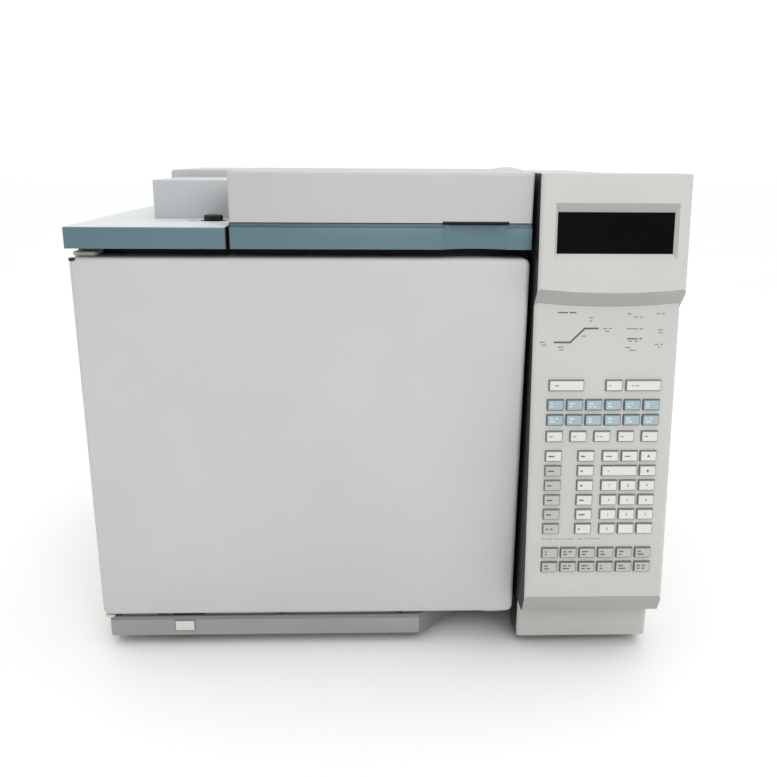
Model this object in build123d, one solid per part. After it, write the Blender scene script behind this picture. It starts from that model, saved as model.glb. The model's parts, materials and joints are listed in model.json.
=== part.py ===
from build123d import *
from math import atan2, cos, hypot, sin, sqrt
import os

# Bench gas chromatograph with a side-hinged oven door, a keypad tower on the right and inlets and
# detectors on top.  Millimetres; +X right, +Y back, +Z up; the origin is on the bench under the middle.

# ---- Driving dimensions -------------------------------------------------------------------------
WIDTH = 580.0                 # over the inlet deck and the keypad tower
DEPTH = 500.0                 # from the tower's lower lip to the gas fittings
LIP_REACH = 38.0              # the tower's lip stands this far in front of the door
FITTING_LENGTH = 18.0         # gas fittings behind the rear panel
SHEET = 1.5                   # painted steel panels
MOULDING = 2.5                # moulded covers

FOOT_HEIGHT = 12.0
FOOT_RADIUS = 20.0
RAIL_WIDTH = 40.0

OVEN_SIDE = 42.8              # cabinet's left side to the oven's shell
LATCH_ROOM = 40.3             # oven's shell to the door's right edge
TOP_ROOM = 6.3                # oven's shell under the top plate
CAVITY_DEPTH = 165.0          # from the door's plug to the fan shroud
PLENUM = 45.0                 # fan space behind the shroud
LINER = 1.2
INSULATION = 34.0
SHELL = 1.0

DOOR_INSET = 2.0              # door edge inside the cabinet's left side
DOOR_BOTTOM = 39.0
DOOR_HEIGHT = 375.5
DOOR_DEPTH = 34.0
DOOR_WALL = 3.0
DOOR_CORNER = 7.0
DOOR_EDGE_ROUND = 5.0
FLOOR_DROP = 1.2              # chassis floor under the door's lower edge
PANEL_GAP = 3.5               # door to keypad tower
SEAL_GAP = 2.0                # door back to front frame
SEAL_WIDTH = 8.0
PLUG_DEPTH = 28.0             # how far the door's plug enters the oven
PLUG_CLEARANCE = 6.0
HINGE_INSET = 5.0             # hinge axis from the door's left edge
HINGE_BACK = 22.0             # hinge axis behind the door's face
HINGE_PIN_RADIUS = 3.0
HINGE_PIN_LENGTH = 10.0
HINGE_PLATE = 3.5
HINGE_GAP = 0.6

BAND_GAP = 8.5                # door top to the coloured band
BAND_HEIGHT = 20.0
DECK_WIDTH = 149.75
DECK_SPLIT = 2.5
TOP_PLATE = 1.5
SCOOP_INSET = 22.0            # finger scoop that lifts the lid, from the fascia's right end
SCOOP_WIDTH = 62.5
SCOOP_DEPTH = 9.0
REBATE = 3.0                  # shadow step under the lid
REBATE_HEIGHT = 3.8

LID_GAP = 0.7                 # rebate top to lid
LID_HEIGHT = 45.5
LID_BACK_GAP = 4.5            # lid to the rear cover
LID_HINGE_INSET = 6.5         # hinge axis in front of the lid's back edge
LID_HINGE_DROP = 8.0          # hinge axis under the lid's top
LID_PIN_RADIUS = 2.0
LID_EAR = 4.0
REAR_COVER_DEPTH = 194.0
REAR_COVER_INSET = 46.5       # rear cover inside the cabinet's left side
REAR_COVER_DROP = 3.0         # rear cover's top under the lid's top

INLET_INSET = 45.0            # inlets from the oven's left wall
INLET_BACK = 20.0             # front inlet behind the door's plug
INLET_PITCH = 76.0            # front inlet to back inlet
INLET_RADIUS = 11.0
INLET_WELL_RADIUS = 14.0      # hole in the deck round an inlet
SEPTUM_NUT_RADIUS = 9.5
SEPTUM_NUT_HEIGHT = 10.0
NEEDLE_RADIUS = 1.5
SOCKET_OFFSET = 19.0          # locating socket for an autosampler's foot, left of the inlet
SOCKET_AHEAD = 12.0           # and in front of it
SOCKET_RADIUS = 4.5
INLET_COVER_INSET = 58.0      # inlet cover inside the cabinet's left side
INLET_COVER_BACK = 26.0       # inlet cover behind the front inlet
INLET_COVER_HEIGHT = 39.0

DETECTOR_INSET = 49.0         # detectors from the oven's right wall
DETECTOR_BACK = 38.0          # front detector behind the door's plug
DETECTOR_PITCH = 80.0
DETECTOR_RADIUS = 12.0

TOWER_WIDTH = 141.0
TOWER_SEAM = 2.0              # tower's open back in front of the door's back
TOWER_WALL = 3.0
TOWER_BASE_HEIGHT = 46.0
LIP_RISE = 21.0               # height of the chamfer under the tower's lip
LIP_CHAMFER = 10.0
NECK_DROP = 118.0             # keypad face meets the hood's underside, under the tower's top
NECK_BACK = 30.0              # and behind the lip
HOOD_EDGE_DROP = 103.0        # hood's lower edge under the tower's top
HOOD_EDGE_BACK = 18.0         # and behind the lip
HOOD_TOP_BACK = 28.0
HOOD_DIP = 5.0                # the hood's lower edge sags this much in the middle
TOWER_ROUND = 5.0
TOWER_COVER_DROP = 4.0        # cover behind the tower, under the tower's top
COVER_BEND = 6.0

WINDOW_INSET = 17.4           # window from the tower's left side
WINDOW_WIDTH = 109.1
WINDOW_DROP = 33.7            # window under the tower's top
WINDOW_HEIGHT = 38.0
WINDOW_SINK = 4.0
WINDOW_THICK = 2.0
BEVEL_SIDE = 3.0
BEVEL_TOP = 8.0
BEVEL_BOTTOM = 5.5

KEY_MARGIN = 16.2             # first column from the tower's left side
KEY_MARGIN_RIGHT = 15.4       # last column from the tower's right side
KEY_GAP = 2.92                # between the keys of a full row
KEY_HEIGHT = 10.2
KEY_PROUD = 2.6
KEY_TRAVEL = 1.5
KEY_CLEARANCE = 0.3
KEY_FLANGE = 1.0
KEY_FLANGE_THICK = 1.2
KEY_FOOT = 27.3               # lowest row to the lip
ROW_GAP = 4.7                 # between the rows of one block
ZONE_SPACE = 8.9              # top row to the coloured rows
FUNCTION_SPACE = 6.2          # coloured rows to the row of five
BLOCK_SPACE = 9.6             # row of five to the number block
LOWER_SPACE = 15.0            # number block to the lower rows

STRIP_BACK = 5.0              # base strip behind the door's face
STRIP_INSET = 6.0             # base strip inside the cabinet's left side
SKIRT_WALL = 3.0
SKIRT_DROP = 4.5              # base strip under the door
STRIP_CURVE = 100.5           # where the strip turns back, from the door's right edge
RECESS_RIGHT = 55.5           # where the finger recess begins, from the door's right edge
RECESS_DEPTH = 16.0           # finger recess behind the front frame

BUTTON_INSET = 86.0           # power button from the cabinet's left side
BUTTON_DROP = 11.0            # button's middle under the strip's top
BUTTON_WIDTH = 21.0
BUTTON_HEIGHT = 12.0
BUTTON_TRAVEL = 3.0
BUTTON_CLEARANCE = 0.4

FAN_RADIUS = 92.0
FAN_BLADES = 12
FAN_HEIGHT = 22.0
SHAFT_RADIUS = 6.0
SHAFT_FIT = 0.05
SHAFT_HOLE = 10.0
MOTOR_RADIUS = 48.0
MOTOR_LENGTH = 66.0
MOTOR_STANDOFF = 14.0
HEATER_RADIUS = 116.0
HEATER_WIRE = 3.5
SLOT_COUNT = 16

DUCT_SIZE = 58.0              # exhaust duct, inside
DUCT_WALL = 1.5
DUCT_INSET = 61.0             # duct's middle from the oven's left wall
DUCT_DROP = 49.0              # duct's middle under the oven's roof
FLAP_CLEARANCE = 0.5
FLAP_BACK = 30.0              # flap axis in front of the rear panel
FLAP_SHAFT = 2.5

LATCH_WIDTH = 22.0
LATCH_BACK = 8.0              # latch's pivot in front of the door's back
LATCH_RISE = 10.0             # and above its lower edge
LATCH_PIN_RADIUS = 2.0
LATCH_PLATE = 2.0
LATCH_REACH = 18.0            # nose behind the pivot
STRIKE_RISE = 8.0
STRIKE_CLEARANCE = 0.4

RUN_FIT = 0.05                # radial clearance of every hinge pin
CAP_RADIUS = 26.0
CAP_INSET = 25.0              # port cap from the tower cover's left edge
CAP_AHEAD = 112.0             # and in front of the rear panel

# ---- Levels and planes that follow ---------------------------------------------------------------
LEFT, RIGHT = -WIDTH / 2, WIDTH / 2
DOOR_FACE = -DEPTH / 2 + LIP_REACH
LIP_Y = -DEPTH / 2
REAR_FACE = DEPTH / 2 - FITTING_LENGTH
REAR_IN = REAR_FACE - SHEET
TOWER_LEFT = RIGHT - TOWER_WIDTH
DOOR_LEFT = LEFT + DOOR_INSET
DOOR_RIGHT = TOWER_LEFT - PANEL_GAP
DOOR_TOP = DOOR_BOTTOM + DOOR_HEIGHT
DOOR_BACK = DOOR_FACE + DOOR_DEPTH
FRAME_FRONT = DOOR_BACK + SEAL_GAP
FRAME_BACK = FRAME_FRONT + SHEET
BAY_WALL = TOWER_LEFT - SHEET            # wall between the oven side and the electronics
BAND_BOTTOM = DOOR_TOP + BAND_GAP
DECK_TOP = BAND_BOTTOM + BAND_HEIGHT
FLOOR_TOP = DOOR_BOTTOM - FLOOR_DROP
FLOOR_BOTTOM = FLOOR_TOP - SHEET
OVEN_WALLS = LINER + INSULATION + SHELL
CAVITY_LEFT = LEFT + OVEN_SIDE + OVEN_WALLS
CAVITY_RIGHT = DOOR_RIGHT - LATCH_ROOM - OVEN_WALLS
CAVITY_BOTTOM = FLOOR_TOP + OVEN_WALLS
SHELL_TOP = BAND_BOTTOM - TOP_PLATE - TOP_ROOM
CAVITY_TOP = SHELL_TOP - OVEN_WALLS
CAVITY_WIDTH = CAVITY_RIGHT - CAVITY_LEFT
CAVITY_HEIGHT = CAVITY_TOP - CAVITY_BOTTOM
PLUG_FACE = FRAME_FRONT + PLUG_DEPTH
SHROUD_FACE = PLUG_FACE + CAVITY_DEPTH
LINER_BACK = SHROUD_FACE + PLENUM
SHELL_BACK = LINER_BACK + OVEN_WALLS
DECK_RIGHT = LEFT + DECK_WIDTH
SCOOP_LEFT = DOOR_RIGHT - SCOOP_INSET - SCOOP_WIDTH
REAR_COVER_FRONT = REAR_FACE - REAR_COVER_DEPTH
REAR_COVER_LEFT = LEFT + REAR_COVER_INSET
LID_BACK = REAR_COVER_FRONT - LID_BACK_GAP
LID_BOTTOM = DECK_TOP + REBATE_HEIGHT + LID_GAP
LID_TOP = LID_BOTTOM + LID_HEIGHT
LID_LEFT = DECK_RIGHT + DECK_SPLIT + MOULDING / 4
LID_RIGHT = DOOR_RIGHT
LID_HINGE_Y = LID_BACK - LID_HINGE_INSET
LID_HINGE_Z = LID_TOP - LID_HINGE_DROP
REAR_COVER_TOP = LID_TOP - REAR_COVER_DROP
INLET_X = CAVITY_LEFT + INLET_INSET
INLET_FRONT_Y = PLUG_FACE + INLET_BACK
SOCKET_X = INLET_X - SOCKET_OFFSET
SOCKET_Y = INLET_FRONT_Y - SOCKET_AHEAD
INLET_COVER_LEFT = LEFT + INLET_COVER_INSET
INLET_COVER_FRONT = INLET_FRONT_Y + INLET_COVER_BACK
DETECTOR_X = CAVITY_RIGHT - DETECTOR_INSET
DETECTOR_FRONT_Y = PLUG_FACE + DETECTOR_BACK
TOWER_TOP = LID_TOP
TOWER_BACK = DOOR_BACK - TOWER_SEAM
TOWER_BASE_TOP = FOOT_HEIGHT + TOWER_BASE_HEIGHT
TOWER_COVER_TOP = TOWER_TOP - TOWER_COVER_DROP
LIP_Z = TOWER_BASE_TOP + LIP_RISE
NECK_Y, NECK_Z = LIP_Y + NECK_BACK, TOWER_TOP - NECK_DROP
HOOD_EDGE_Y, HOOD_EDGE_Z = LIP_Y + HOOD_EDGE_BACK, TOWER_TOP - HOOD_EDGE_DROP
HOOD_TOP_Y = LIP_Y + HOOD_TOP_BACK
WINDOW_LEFT = TOWER_LEFT + WINDOW_INSET
WINDOW_RIGHT = WINDOW_LEFT + WINDOW_WIDTH
WINDOW_HIGH = TOWER_TOP - WINDOW_DROP
WINDOW_LOW = WINDOW_HIGH - WINDOW_HEIGHT
KEY_LEFT = TOWER_LEFT + KEY_MARGIN
KEY_RIGHT = RIGHT - KEY_MARGIN_RIGHT
KEY_WIDTH = (KEY_RIGHT - KEY_LEFT - 5 * KEY_GAP) / 6
SKIRT_FRONT = DOOR_FACE + STRIP_BACK
SKIRT_LEFT = LEFT + STRIP_INSET
SKIRT_TOP = DOOR_BOTTOM - SKIRT_DROP
SKIRT_END = DOOR_RIGHT - STRIP_CURVE
RECESS_BACK = FRAME_FRONT + RECESS_DEPTH
RECESS_TURN = DOOR_RIGHT - RECESS_RIGHT
BUTTON_X = LEFT + BUTTON_INSET
BUTTON_Z = SKIRT_TOP - BUTTON_DROP
HINGE_X = DOOR_LEFT + HINGE_INSET
HINGE_Y = DOOR_FACE + HINGE_BACK
FAN_X = (CAVITY_LEFT + CAVITY_RIGHT) / 2
FAN_Z = (CAVITY_BOTTOM + CAVITY_TOP) / 2
DUCT_X = CAVITY_LEFT + DUCT_INSET
DUCT_Z = CAVITY_TOP - DUCT_DROP
FLAP_Y = REAR_IN - FLAP_BACK
LATCH_LEFT = DOOR_RIGHT - (LATCH_ROOM + LATCH_WIDTH) / 2
LATCH_PIVOT_Y = DOOR_BACK - LATCH_BACK
LATCH_PIVOT_Z = DOOR_BOTTOM + LATCH_RISE
STRIKE_Z = LATCH_PIVOT_Z + STRIKE_RISE   # underside of the strike
NOSE_X0 = LATCH_LEFT + 6.0               # the latch's nose, narrower than its paddle
NOSE_X1 = LATCH_LEFT + LATCH_WIDTH - 6.0
CAP_X = TOWER_LEFT + CAP_INSET
CAP_Y = REAR_FACE - CAP_AHEAD

# The keypad face leans forward towards its foot: u runs along +X, w runs down the face.
KEYPAD_LEAN = atan2(NECK_Y - LIP_Y, NECK_Z - LIP_Z)
KEYPAD_LENGTH = hypot(NECK_Y - LIP_Y, NECK_Z - LIP_Z)
KEYPAD_DOWN = Vector(0, -sin(KEYPAD_LEAN), -cos(KEYPAD_LEAN))
KEYPAD_OUT = Vector(0, -cos(KEYPAD_LEAN), sin(KEYPAD_LEAN))
HOOD_LEAN = atan2(HOOD_TOP_Y - HOOD_EDGE_Y, TOWER_TOP - HOOD_EDGE_Z)


# ---- Helpers ---------------------------------------------------------------------------------------
def block(x0, x1, y0, y1, z0, z1):
    """A box between two corners."""
    return Pos((x0 + x1) / 2, (y0 + y1) / 2, (z0 + z1) / 2) * Box(x1 - x0, y1 - y0, z1 - z0)


def round_block(x0, x1, y0, y1, z0, z1, radius, axis=Axis.Y):
    """A box whose edges along one axis are rounded."""
    body = block(x0, x1, y0, y1, z0, z1)
    return fillet(body.edges().filter_by(axis), radius)


def spaced(low, high, pitch):
    """Evenly pitched places, centred between two limits."""
    count = int((high - low) // pitch)
    start = (low + high - count * pitch) / 2
    return [start + i * pitch for i in range(count + 1)]


def rod_x(x0, x1, y, z, radius):
    return Pos((x0 + x1) / 2, y, z) * Rot(0, 90, 0) * Cylinder(radius, x1 - x0)


def rod_y(x, y0, y1, z, radius):
    return Pos(x, (y0 + y1) / 2, z) * Rot(90, 0, 0) * Cylinder(radius, y1 - y0)


def rod_z(x, y, z0, z1, radius):
    return Pos(x, y, (z0 + z1) / 2) * Cylinder(radius, z1 - z0)


def side_prism(points, x0, x1):
    """Extrudes a closed outline of (y, z) points along X."""
    outline = make_face(Polyline([(x0, y, z) for y, z in points], close=True))
    return extrude(outline, x1 - x0, dir=(1, 0, 0))


def plan_prism(points, z0, z1):
    """Extrudes a closed outline of (x, y) points along Z."""
    return extrude(make_face(Polyline([(x, y, z0) for x, y in points], close=True)), z1 - z0, dir=(0, 0, 1))


def keypad_place(u, w, out=0.0):
    """Location on the keypad face: local x along +X, local y down the face, local z into the tower."""
    origin = Vector(0, NECK_Y, NECK_Z) + KEYPAD_DOWN * w + KEYPAD_OUT * out + Vector(u, 0, 0)
    return Location(Plane(origin=origin, x_dir=(1, 0, 0), z_dir=-KEYPAD_OUT))


def hood_place(x, z, out=0.0):
    """Location on the hood's face at height z: local x along +X, local z out of the face."""
    y = HOOD_EDGE_Y + (z - HOOD_EDGE_Z) * (HOOD_TOP_Y - HOOD_EDGE_Y) / (TOWER_TOP - HOOD_EDGE_Z)
    normal = Vector(0, -cos(HOOD_LEAN), sin(HOOD_LEAN))
    return Location(Plane(origin=Vector(x, y, z) + normal * out, x_dir=(1, 0, 0), z_dir=normal))


# ---- Cabinet ----------------------------------------------------------------------------------------
FOOT_X = RIGHT - RAIL_WIDTH
FOOT_FRONT_Y = FRAME_FRONT + 36.0
FOOT_BACK_Y = REAR_FACE - 42.0


def feet():
    return [rod_z(side * FOOT_X, y, 0, FOOT_HEIGHT, FOOT_RADIUS) for side in (-1, 1)
            for y in (FOOT_FRONT_Y, FOOT_BACK_Y)]


def base_rails():
    """Two channels, open at the inside, that carry the floor and stand on the feet."""
    rails = []
    for side in (-1, 1):
        x0, x1 = side * FOOT_X - RAIL_WIDTH / 2, side * FOOT_X + RAIL_WIDTH / 2
        rail = block(x0, x1, FRAME_BACK, REAR_IN, FOOT_HEIGHT, FLOOR_BOTTOM)
        hollow = Pos(-side * SHEET, 0, 0) * block(x0, x1, FRAME_BACK, REAR_IN, FOOT_HEIGHT + SHEET,
                                                  FLOOR_BOTTOM - SHEET)
        rails.append(rail - hollow)
    return rails


def floor_pan():
    """The chassis floor, with cooling slots under the electronics."""
    pan = block(LEFT + SHEET, RIGHT - SHEET, FRAME_BACK, REAR_IN, FLOOR_BOTTOM, FLOOR_TOP)
    for y in spaced(FRAME_BACK + 50, REAR_IN - 180, 20):
        pan -= block(TOWER_LEFT + 25, RIGHT - 70, y, y + 6, FLOOR_BOTTOM - 1, FLOOR_TOP + 1)
    return pan


def left_side_panel():
    return block(LEFT, LEFT + SHEET, FRAME_FRONT, REAR_FACE, FOOT_HEIGHT, BAND_BOTTOM - TOP_PLATE)


def tower_side_cover():
    """Right side and top of the electronics bay in one bent sheet, louvred low at the back."""
    def bent(grow, y0, y1):
        solid = block(BAY_WALL - (1 if grow else 0), RIGHT - grow, y0, y1, FOOT_HEIGHT - (1 if grow else 0),
                      TOWER_COVER_TOP - grow)
        return fillet(solid.edges().filter_by(Axis.Y).sort_by(Axis.X)[-2:].sort_by(Axis.Z)[-1],
                      COVER_BEND - grow)

    cover = bent(0, TOWER_BACK, REAR_FACE) - bent(SHEET, TOWER_BACK - 1, REAR_FACE + 1)
    for z in spaced(FLOOR_TOP + 30, FLOOR_TOP + 160, 14):
        cover -= block(RIGHT - SHEET - 1, RIGHT + 1, REAR_IN - 140, REAR_IN - 40, z, z + 5)
    return cover + port_cap()


def bay_wall():
    return block(BAY_WALL, TOWER_LEFT, FRAME_FRONT, REAR_IN, FLOOR_TOP, TOWER_COVER_TOP - SHEET)


PORT_X = RIGHT - 45.0         # power inlet centre
PORT_Z = FLOOR_TOP + 92.2
CONNECTOR_X = PORT_X - 30.0
CONNECTOR_Z = PORT_Z + 80.0
CONNECTOR_PITCH = 34.0
FITTING_X = CAVITY_RIGHT - 109.0
FITTING_Z = SHELL_TOP - 19.2
FITTING_PITCH = 26.0
FITTING_RADIUS = 4.0


def rear_panel():
    """The back, tall behind the electronics, with the duct, power and signal openings."""
    top_low = BAND_BOTTOM - TOP_PLATE
    panel = block(LEFT + SHEET, RIGHT - SHEET, REAR_IN, REAR_FACE, FLOOR_BOTTOM, top_low)
    panel += block(BAY_WALL, RIGHT - SHEET, REAR_IN, REAR_FACE, top_low, TOWER_COVER_TOP - SHEET)
    panel = fillet(panel.edges().filter_by(Axis.Y).sort_by(Axis.Z)[-2:].sort_by(Axis.X)[-1], COVER_BEND - SHEET)
    half = DUCT_SIZE / 2
    panel -= block(DUCT_X - half, DUCT_X + half, REAR_IN - 1, REAR_FACE + 1, DUCT_Z - half, DUCT_Z + half)
    panel -= block(PORT_X - 14, PORT_X + 14, REAR_IN - 1, REAR_FACE + 1, PORT_Z - 12, PORT_Z + 12)
    for i in range(3):
        z = CONNECTOR_Z + i * CONNECTOR_PITCH
        panel -= block(CONNECTOR_X - 18, CONNECTOR_X + 18, REAR_IN - 1, REAR_FACE + 1, z - 5, z + 5)
    for i in range(4):
        panel -= rod_y(FITTING_X + i * FITTING_PITCH, REAR_IN - 1, REAR_FACE + 1, FITTING_Z, FITTING_RADIUS)
    for x in spaced(CAVITY_LEFT, CAVITY_RIGHT - 14, 24):
        panel -= block(x, x + 14, REAR_IN - 1, REAR_FACE + 1, FLOOR_TOP + 22, FLOOR_TOP + 62)
    for x in spaced(TOWER_LEFT + 15, RIGHT - 21, 12):
        panel -= block(x, x + 6, REAR_IN - 1, REAR_FACE + 1, TOWER_COVER_TOP - 90, TOWER_COVER_TOP - 30)
    return panel


def front_frame():
    """The sheet round the oven's mouth that the door closes on, with its apron and the latch's strike."""
    frame = block(LEFT + SHEET, BAY_WALL, FRAME_FRONT, FRAME_BACK, FLOOR_BOTTOM, BAND_BOTTOM - TOP_PLATE)
    frame -= block(CAVITY_LEFT, CAVITY_RIGHT, FRAME_FRONT - 1, FRAME_BACK + 1, CAVITY_BOTTOM, CAVITY_TOP)
    frame -= block(NOSE_X0 - 1, NOSE_X1 + 1, FRAME_FRONT - 1, FRAME_BACK + 1, LATCH_PIVOT_Z - 9, STRIKE_Z)
    frame += block(LEFT + SHEET, SKIRT_END + 30, FRAME_FRONT, FRAME_BACK, FOOT_HEIGHT + 2, FLOOR_BOTTOM)
    return frame + block(LATCH_LEFT + 2, LATCH_LEFT + LATCH_WIDTH - 2, FRAME_BACK, FRAME_BACK + 8, STRIKE_Z,
                         STRIKE_Z + SHEET)


def top_plate():
    """Sheet over the oven that carries the deck, the inlets and the detectors."""
    plate = block(LEFT, BAY_WALL, FRAME_FRONT, REAR_FACE, BAND_BOTTOM - TOP_PLATE, BAND_BOTTOM)
    for x, y in inlet_places() + detector_places():
        plate -= rod_z(x, y, BAND_BOTTOM - 5, BAND_BOTTOM + 5, INLET_WELL_RADIUS)
    return plate


def front_base_strip():
    """Strip under the door; its right end curves back to leave room for the fingers under the latch."""
    path = Wire([
        Line((SKIRT_LEFT, FRAME_FRONT, SKIRT_TOP), (SKIRT_LEFT, SKIRT_FRONT + 6, SKIRT_TOP)),
        RadiusArc((SKIRT_LEFT, SKIRT_FRONT + 6, SKIRT_TOP), (SKIRT_LEFT + 6, SKIRT_FRONT, SKIRT_TOP), -6),
        Line((SKIRT_LEFT + 6, SKIRT_FRONT, SKIRT_TOP), (SKIRT_END, SKIRT_FRONT, SKIRT_TOP)),
        TangentArc([(SKIRT_END, SKIRT_FRONT, SKIRT_TOP), (RECESS_TURN, RECESS_BACK, SKIRT_TOP)],
                   tangent=(1, 0, 0)),
    ])
    centre = path.edges()
    outer = make_face(Wire(list(centre) + [
        Line((RECESS_TURN, RECESS_BACK, SKIRT_TOP), (RECESS_TURN, RECESS_BACK + 40, SKIRT_TOP)),
        Line((RECESS_TURN, RECESS_BACK + 40, SKIRT_TOP), (SKIRT_LEFT, RECESS_BACK + 40, SKIRT_TOP)),
        Line((SKIRT_LEFT, RECESS_BACK + 40, SKIRT_TOP), (SKIRT_LEFT, FRAME_FRONT, SKIRT_TOP)),
    ]))
    solid = extrude(outer, SKIRT_TOP - FOOT_HEIGHT, dir=(0, 0, -1))
    inner = offset(outer, -SKIRT_WALL)
    strip = solid - extrude(inner, SKIRT_TOP - FOOT_HEIGHT + 1, dir=(0, 0, -1))
    strip &= block(LEFT, RECESS_TURN + 1, SKIRT_FRONT - 1, RECESS_BACK, 0, SKIRT_TOP)
    strip -= block(LEFT, SKIRT_END, FRAME_FRONT, 0, 0, SKIRT_TOP + 1)
    strip += block(RECESS_TURN - SKIRT_WALL, TOWER_LEFT, RECESS_BACK, RECESS_BACK + SKIRT_WALL, FOOT_HEIGHT,
                   FLOOR_BOTTOM)
    for x in spaced(SKIRT_LEFT + 40, SKIRT_END - 10, 130):
        strip += block(x, x + SKIRT_WALL, SKIRT_FRONT + SKIRT_WALL, FRAME_FRONT, FOOT_HEIGHT + 2, SKIRT_TOP - 4)
    half_w, half_h = BUTTON_WIDTH / 2 + BUTTON_CLEARANCE, BUTTON_HEIGHT / 2 + BUTTON_CLEARANCE
    strip -= block(BUTTON_X - half_w, BUTTON_X + half_w, SKIRT_FRONT - 1, SKIRT_FRONT + 10,
                   BUTTON_Z - half_h, BUTTON_Z + half_h)
    return strip


def power_button():
    """Rocker-sized push button with a flange behind the strip."""
    front = SKIRT_FRONT - 1.0
    back = SKIRT_FRONT + SKIRT_WALL + BUTTON_CLEARANCE
    cap = block(BUTTON_X - BUTTON_WIDTH / 2, BUTTON_X + BUTTON_WIDTH / 2, front, back,
                BUTTON_Z - BUTTON_HEIGHT / 2, BUTTON_Z + BUTTON_HEIGHT / 2)
    cap = chamfer(cap.faces().sort_by(Axis.Y)[0].edges(), 0.8)
    flange = block(BUTTON_X - BUTTON_WIDTH / 2 - 2, BUTTON_X + BUTTON_WIDTH / 2 + 2, back, back + 2,
                   BUTTON_Z - BUTTON_HEIGHT / 2 - 2, BUTTON_Z + BUTTON_HEIGHT / 2 + 2)
    return cap + flange


def power_switch():
    """Switch body on the floor pan's front edge, behind the button's stem."""
    back = SKIRT_FRONT + SKIRT_WALL + BUTTON_CLEARANCE + 2
    front = back + BUTTON_TRAVEL + BUTTON_CLEARANCE
    body = block(BUTTON_X - 14, BUTTON_X + 14, front, FRAME_FRONT, BUTTON_Z - 9, BUTTON_Z + 8)
    return body


# ---- Oven --------------------------------------------------------------------------------------------
def inlet_places():
    return [(INLET_X, INLET_FRONT_Y), (INLET_X, INLET_FRONT_Y + INLET_PITCH)]


def detector_places():
    return [(DETECTOR_X, DETECTOR_FRONT_Y), (DETECTOR_X, DETECTOR_FRONT_Y + DETECTOR_PITCH)]


def oven_wall(inner, thickness):
    """One open-fronted box of the oven's three, `inner` outside the cavity, with its holes."""
    outer = inner + thickness
    wall = block(CAVITY_LEFT - outer, CAVITY_RIGHT + outer, FRAME_BACK, LINER_BACK + outer,
                 CAVITY_BOTTOM - outer, CAVITY_TOP + outer)
    wall -= block(CAVITY_LEFT - inner, CAVITY_RIGHT + inner, FRAME_BACK - 1, LINER_BACK + inner,
                  CAVITY_BOTTOM - inner, CAVITY_TOP + inner)
    wall -= rod_y(FAN_X, LINER_BACK - 1, SHELL_BACK + 1, FAN_Z, SHAFT_HOLE)
    half = DUCT_SIZE / 2 + DUCT_WALL
    wall -= block(DUCT_X - half, DUCT_X + half, LINER_BACK - 1, SHELL_BACK + 1, DUCT_Z - half, DUCT_Z + half)
    for x, y in inlet_places():
        wall -= rod_z(x, y, CAVITY_TOP - 5, SHELL_TOP + 1, INLET_RADIUS)
    for x, y in detector_places():
        wall -= rod_z(x, y, CAVITY_TOP - 5, SHELL_TOP + 1, DETECTOR_RADIUS)
    return wall


BOARD_JOINT = 0.4             # between two insulation boards


def oven_insulation():
    """Insulation boards between liner and shell; the back is four boards laid round the exhaust duct."""
    near, far = LINER, LINER + INSULATION
    left, right = CAVITY_LEFT - far, CAVITY_RIGHT + far
    low, high = CAVITY_BOTTOM - far, CAVITY_TOP + far
    back = LINER_BACK + LINER
    front_end = back - BOARD_JOINT
    side_low, side_high = CAVITY_BOTTOM - near + BOARD_JOINT, CAVITY_TOP + near - BOARD_JOINT
    floor = block(left, right, FRAME_BACK, front_end, low, CAVITY_BOTTOM - near)
    left_side = block(left, CAVITY_LEFT - near, FRAME_BACK, front_end, side_low, side_high)
    right_side = block(CAVITY_RIGHT + near, right, FRAME_BACK, front_end, side_low, side_high)
    roof = block(left, right, FRAME_BACK, front_end, CAVITY_TOP + near, high)
    for x, y in inlet_places():
        roof -= rod_z(x, y, CAVITY_TOP, high + 1, INLET_RADIUS)
    for x, y in detector_places():
        roof -= rod_z(x, y, CAVITY_TOP, high + 1, DETECTOR_RADIUS)
    half = DUCT_SIZE / 2 + DUCT_WALL
    duct_low, duct_high = DUCT_Z - half, DUCT_Z + half
    under = block(left, right, back, back + INSULATION, low, duct_low - BOARD_JOINT)
    under -= rod_y(FAN_X, back - 1, back + INSULATION + 1, FAN_Z, SHAFT_HOLE)
    over = block(left, right, back, back + INSULATION, duct_high + BOARD_JOINT, high)
    duct_left = block(left, DUCT_X - half, back, back + INSULATION, duct_low, duct_high)
    duct_right = block(DUCT_X + half, right, back, back + INSULATION, duct_low, duct_high)
    return [floor, left_side, right_side, roof, under, over, duct_left, duct_right]


def fan_shroud():
    """Plate in front of the fan with a ring of intake slots, on four posts."""
    margin = 12.0
    plate = block(CAVITY_LEFT + margin, CAVITY_RIGHT - margin, SHROUD_FACE, SHROUD_FACE + LINER,
                  CAVITY_BOTTOM + margin, CAVITY_TOP - margin)
    slot = block(28, 74, SHROUD_FACE - 1, SHROUD_FACE + LINER + 1, -4, 4)
    for i in range(SLOT_COUNT):
        plate -= Pos(FAN_X, 0, FAN_Z) * Rot(0, i * 360 / SLOT_COUNT, 0) * slot
    for sx in (-1, 1):
        for sz in (-1, 1):
            plate += rod_y(FAN_X + sx * (CAVITY_WIDTH / 2 - 24), SHROUD_FACE + LINER, LINER_BACK,
                           FAN_Z + sz * (CAVITY_HEIGHT / 2 - 24), 4)
    return plate + column_hanger()


def heater_coil():
    """Ring heater round the fan, held by four ceramic blocks on the oven's back."""
    y = SHROUD_FACE + LINER + PLENUM / 2 - 4
    section = Pos(FAN_X + HEATER_RADIUS, y, FAN_Z) * RegularPolygon(HEATER_WIRE, 8)
    ring = revolve(section, Axis((FAN_X, 0, FAN_Z), (0, 1, 0)), 360)
    for i in range(4):
        clip = block(HEATER_RADIUS - 7, HEATER_RADIUS + 7, y - 7, LINER_BACK, -6, 6)
        ring += Pos(FAN_X, 0, FAN_Z) * Rot(0, 45 + i * 90, 0) * clip
    return ring


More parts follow.
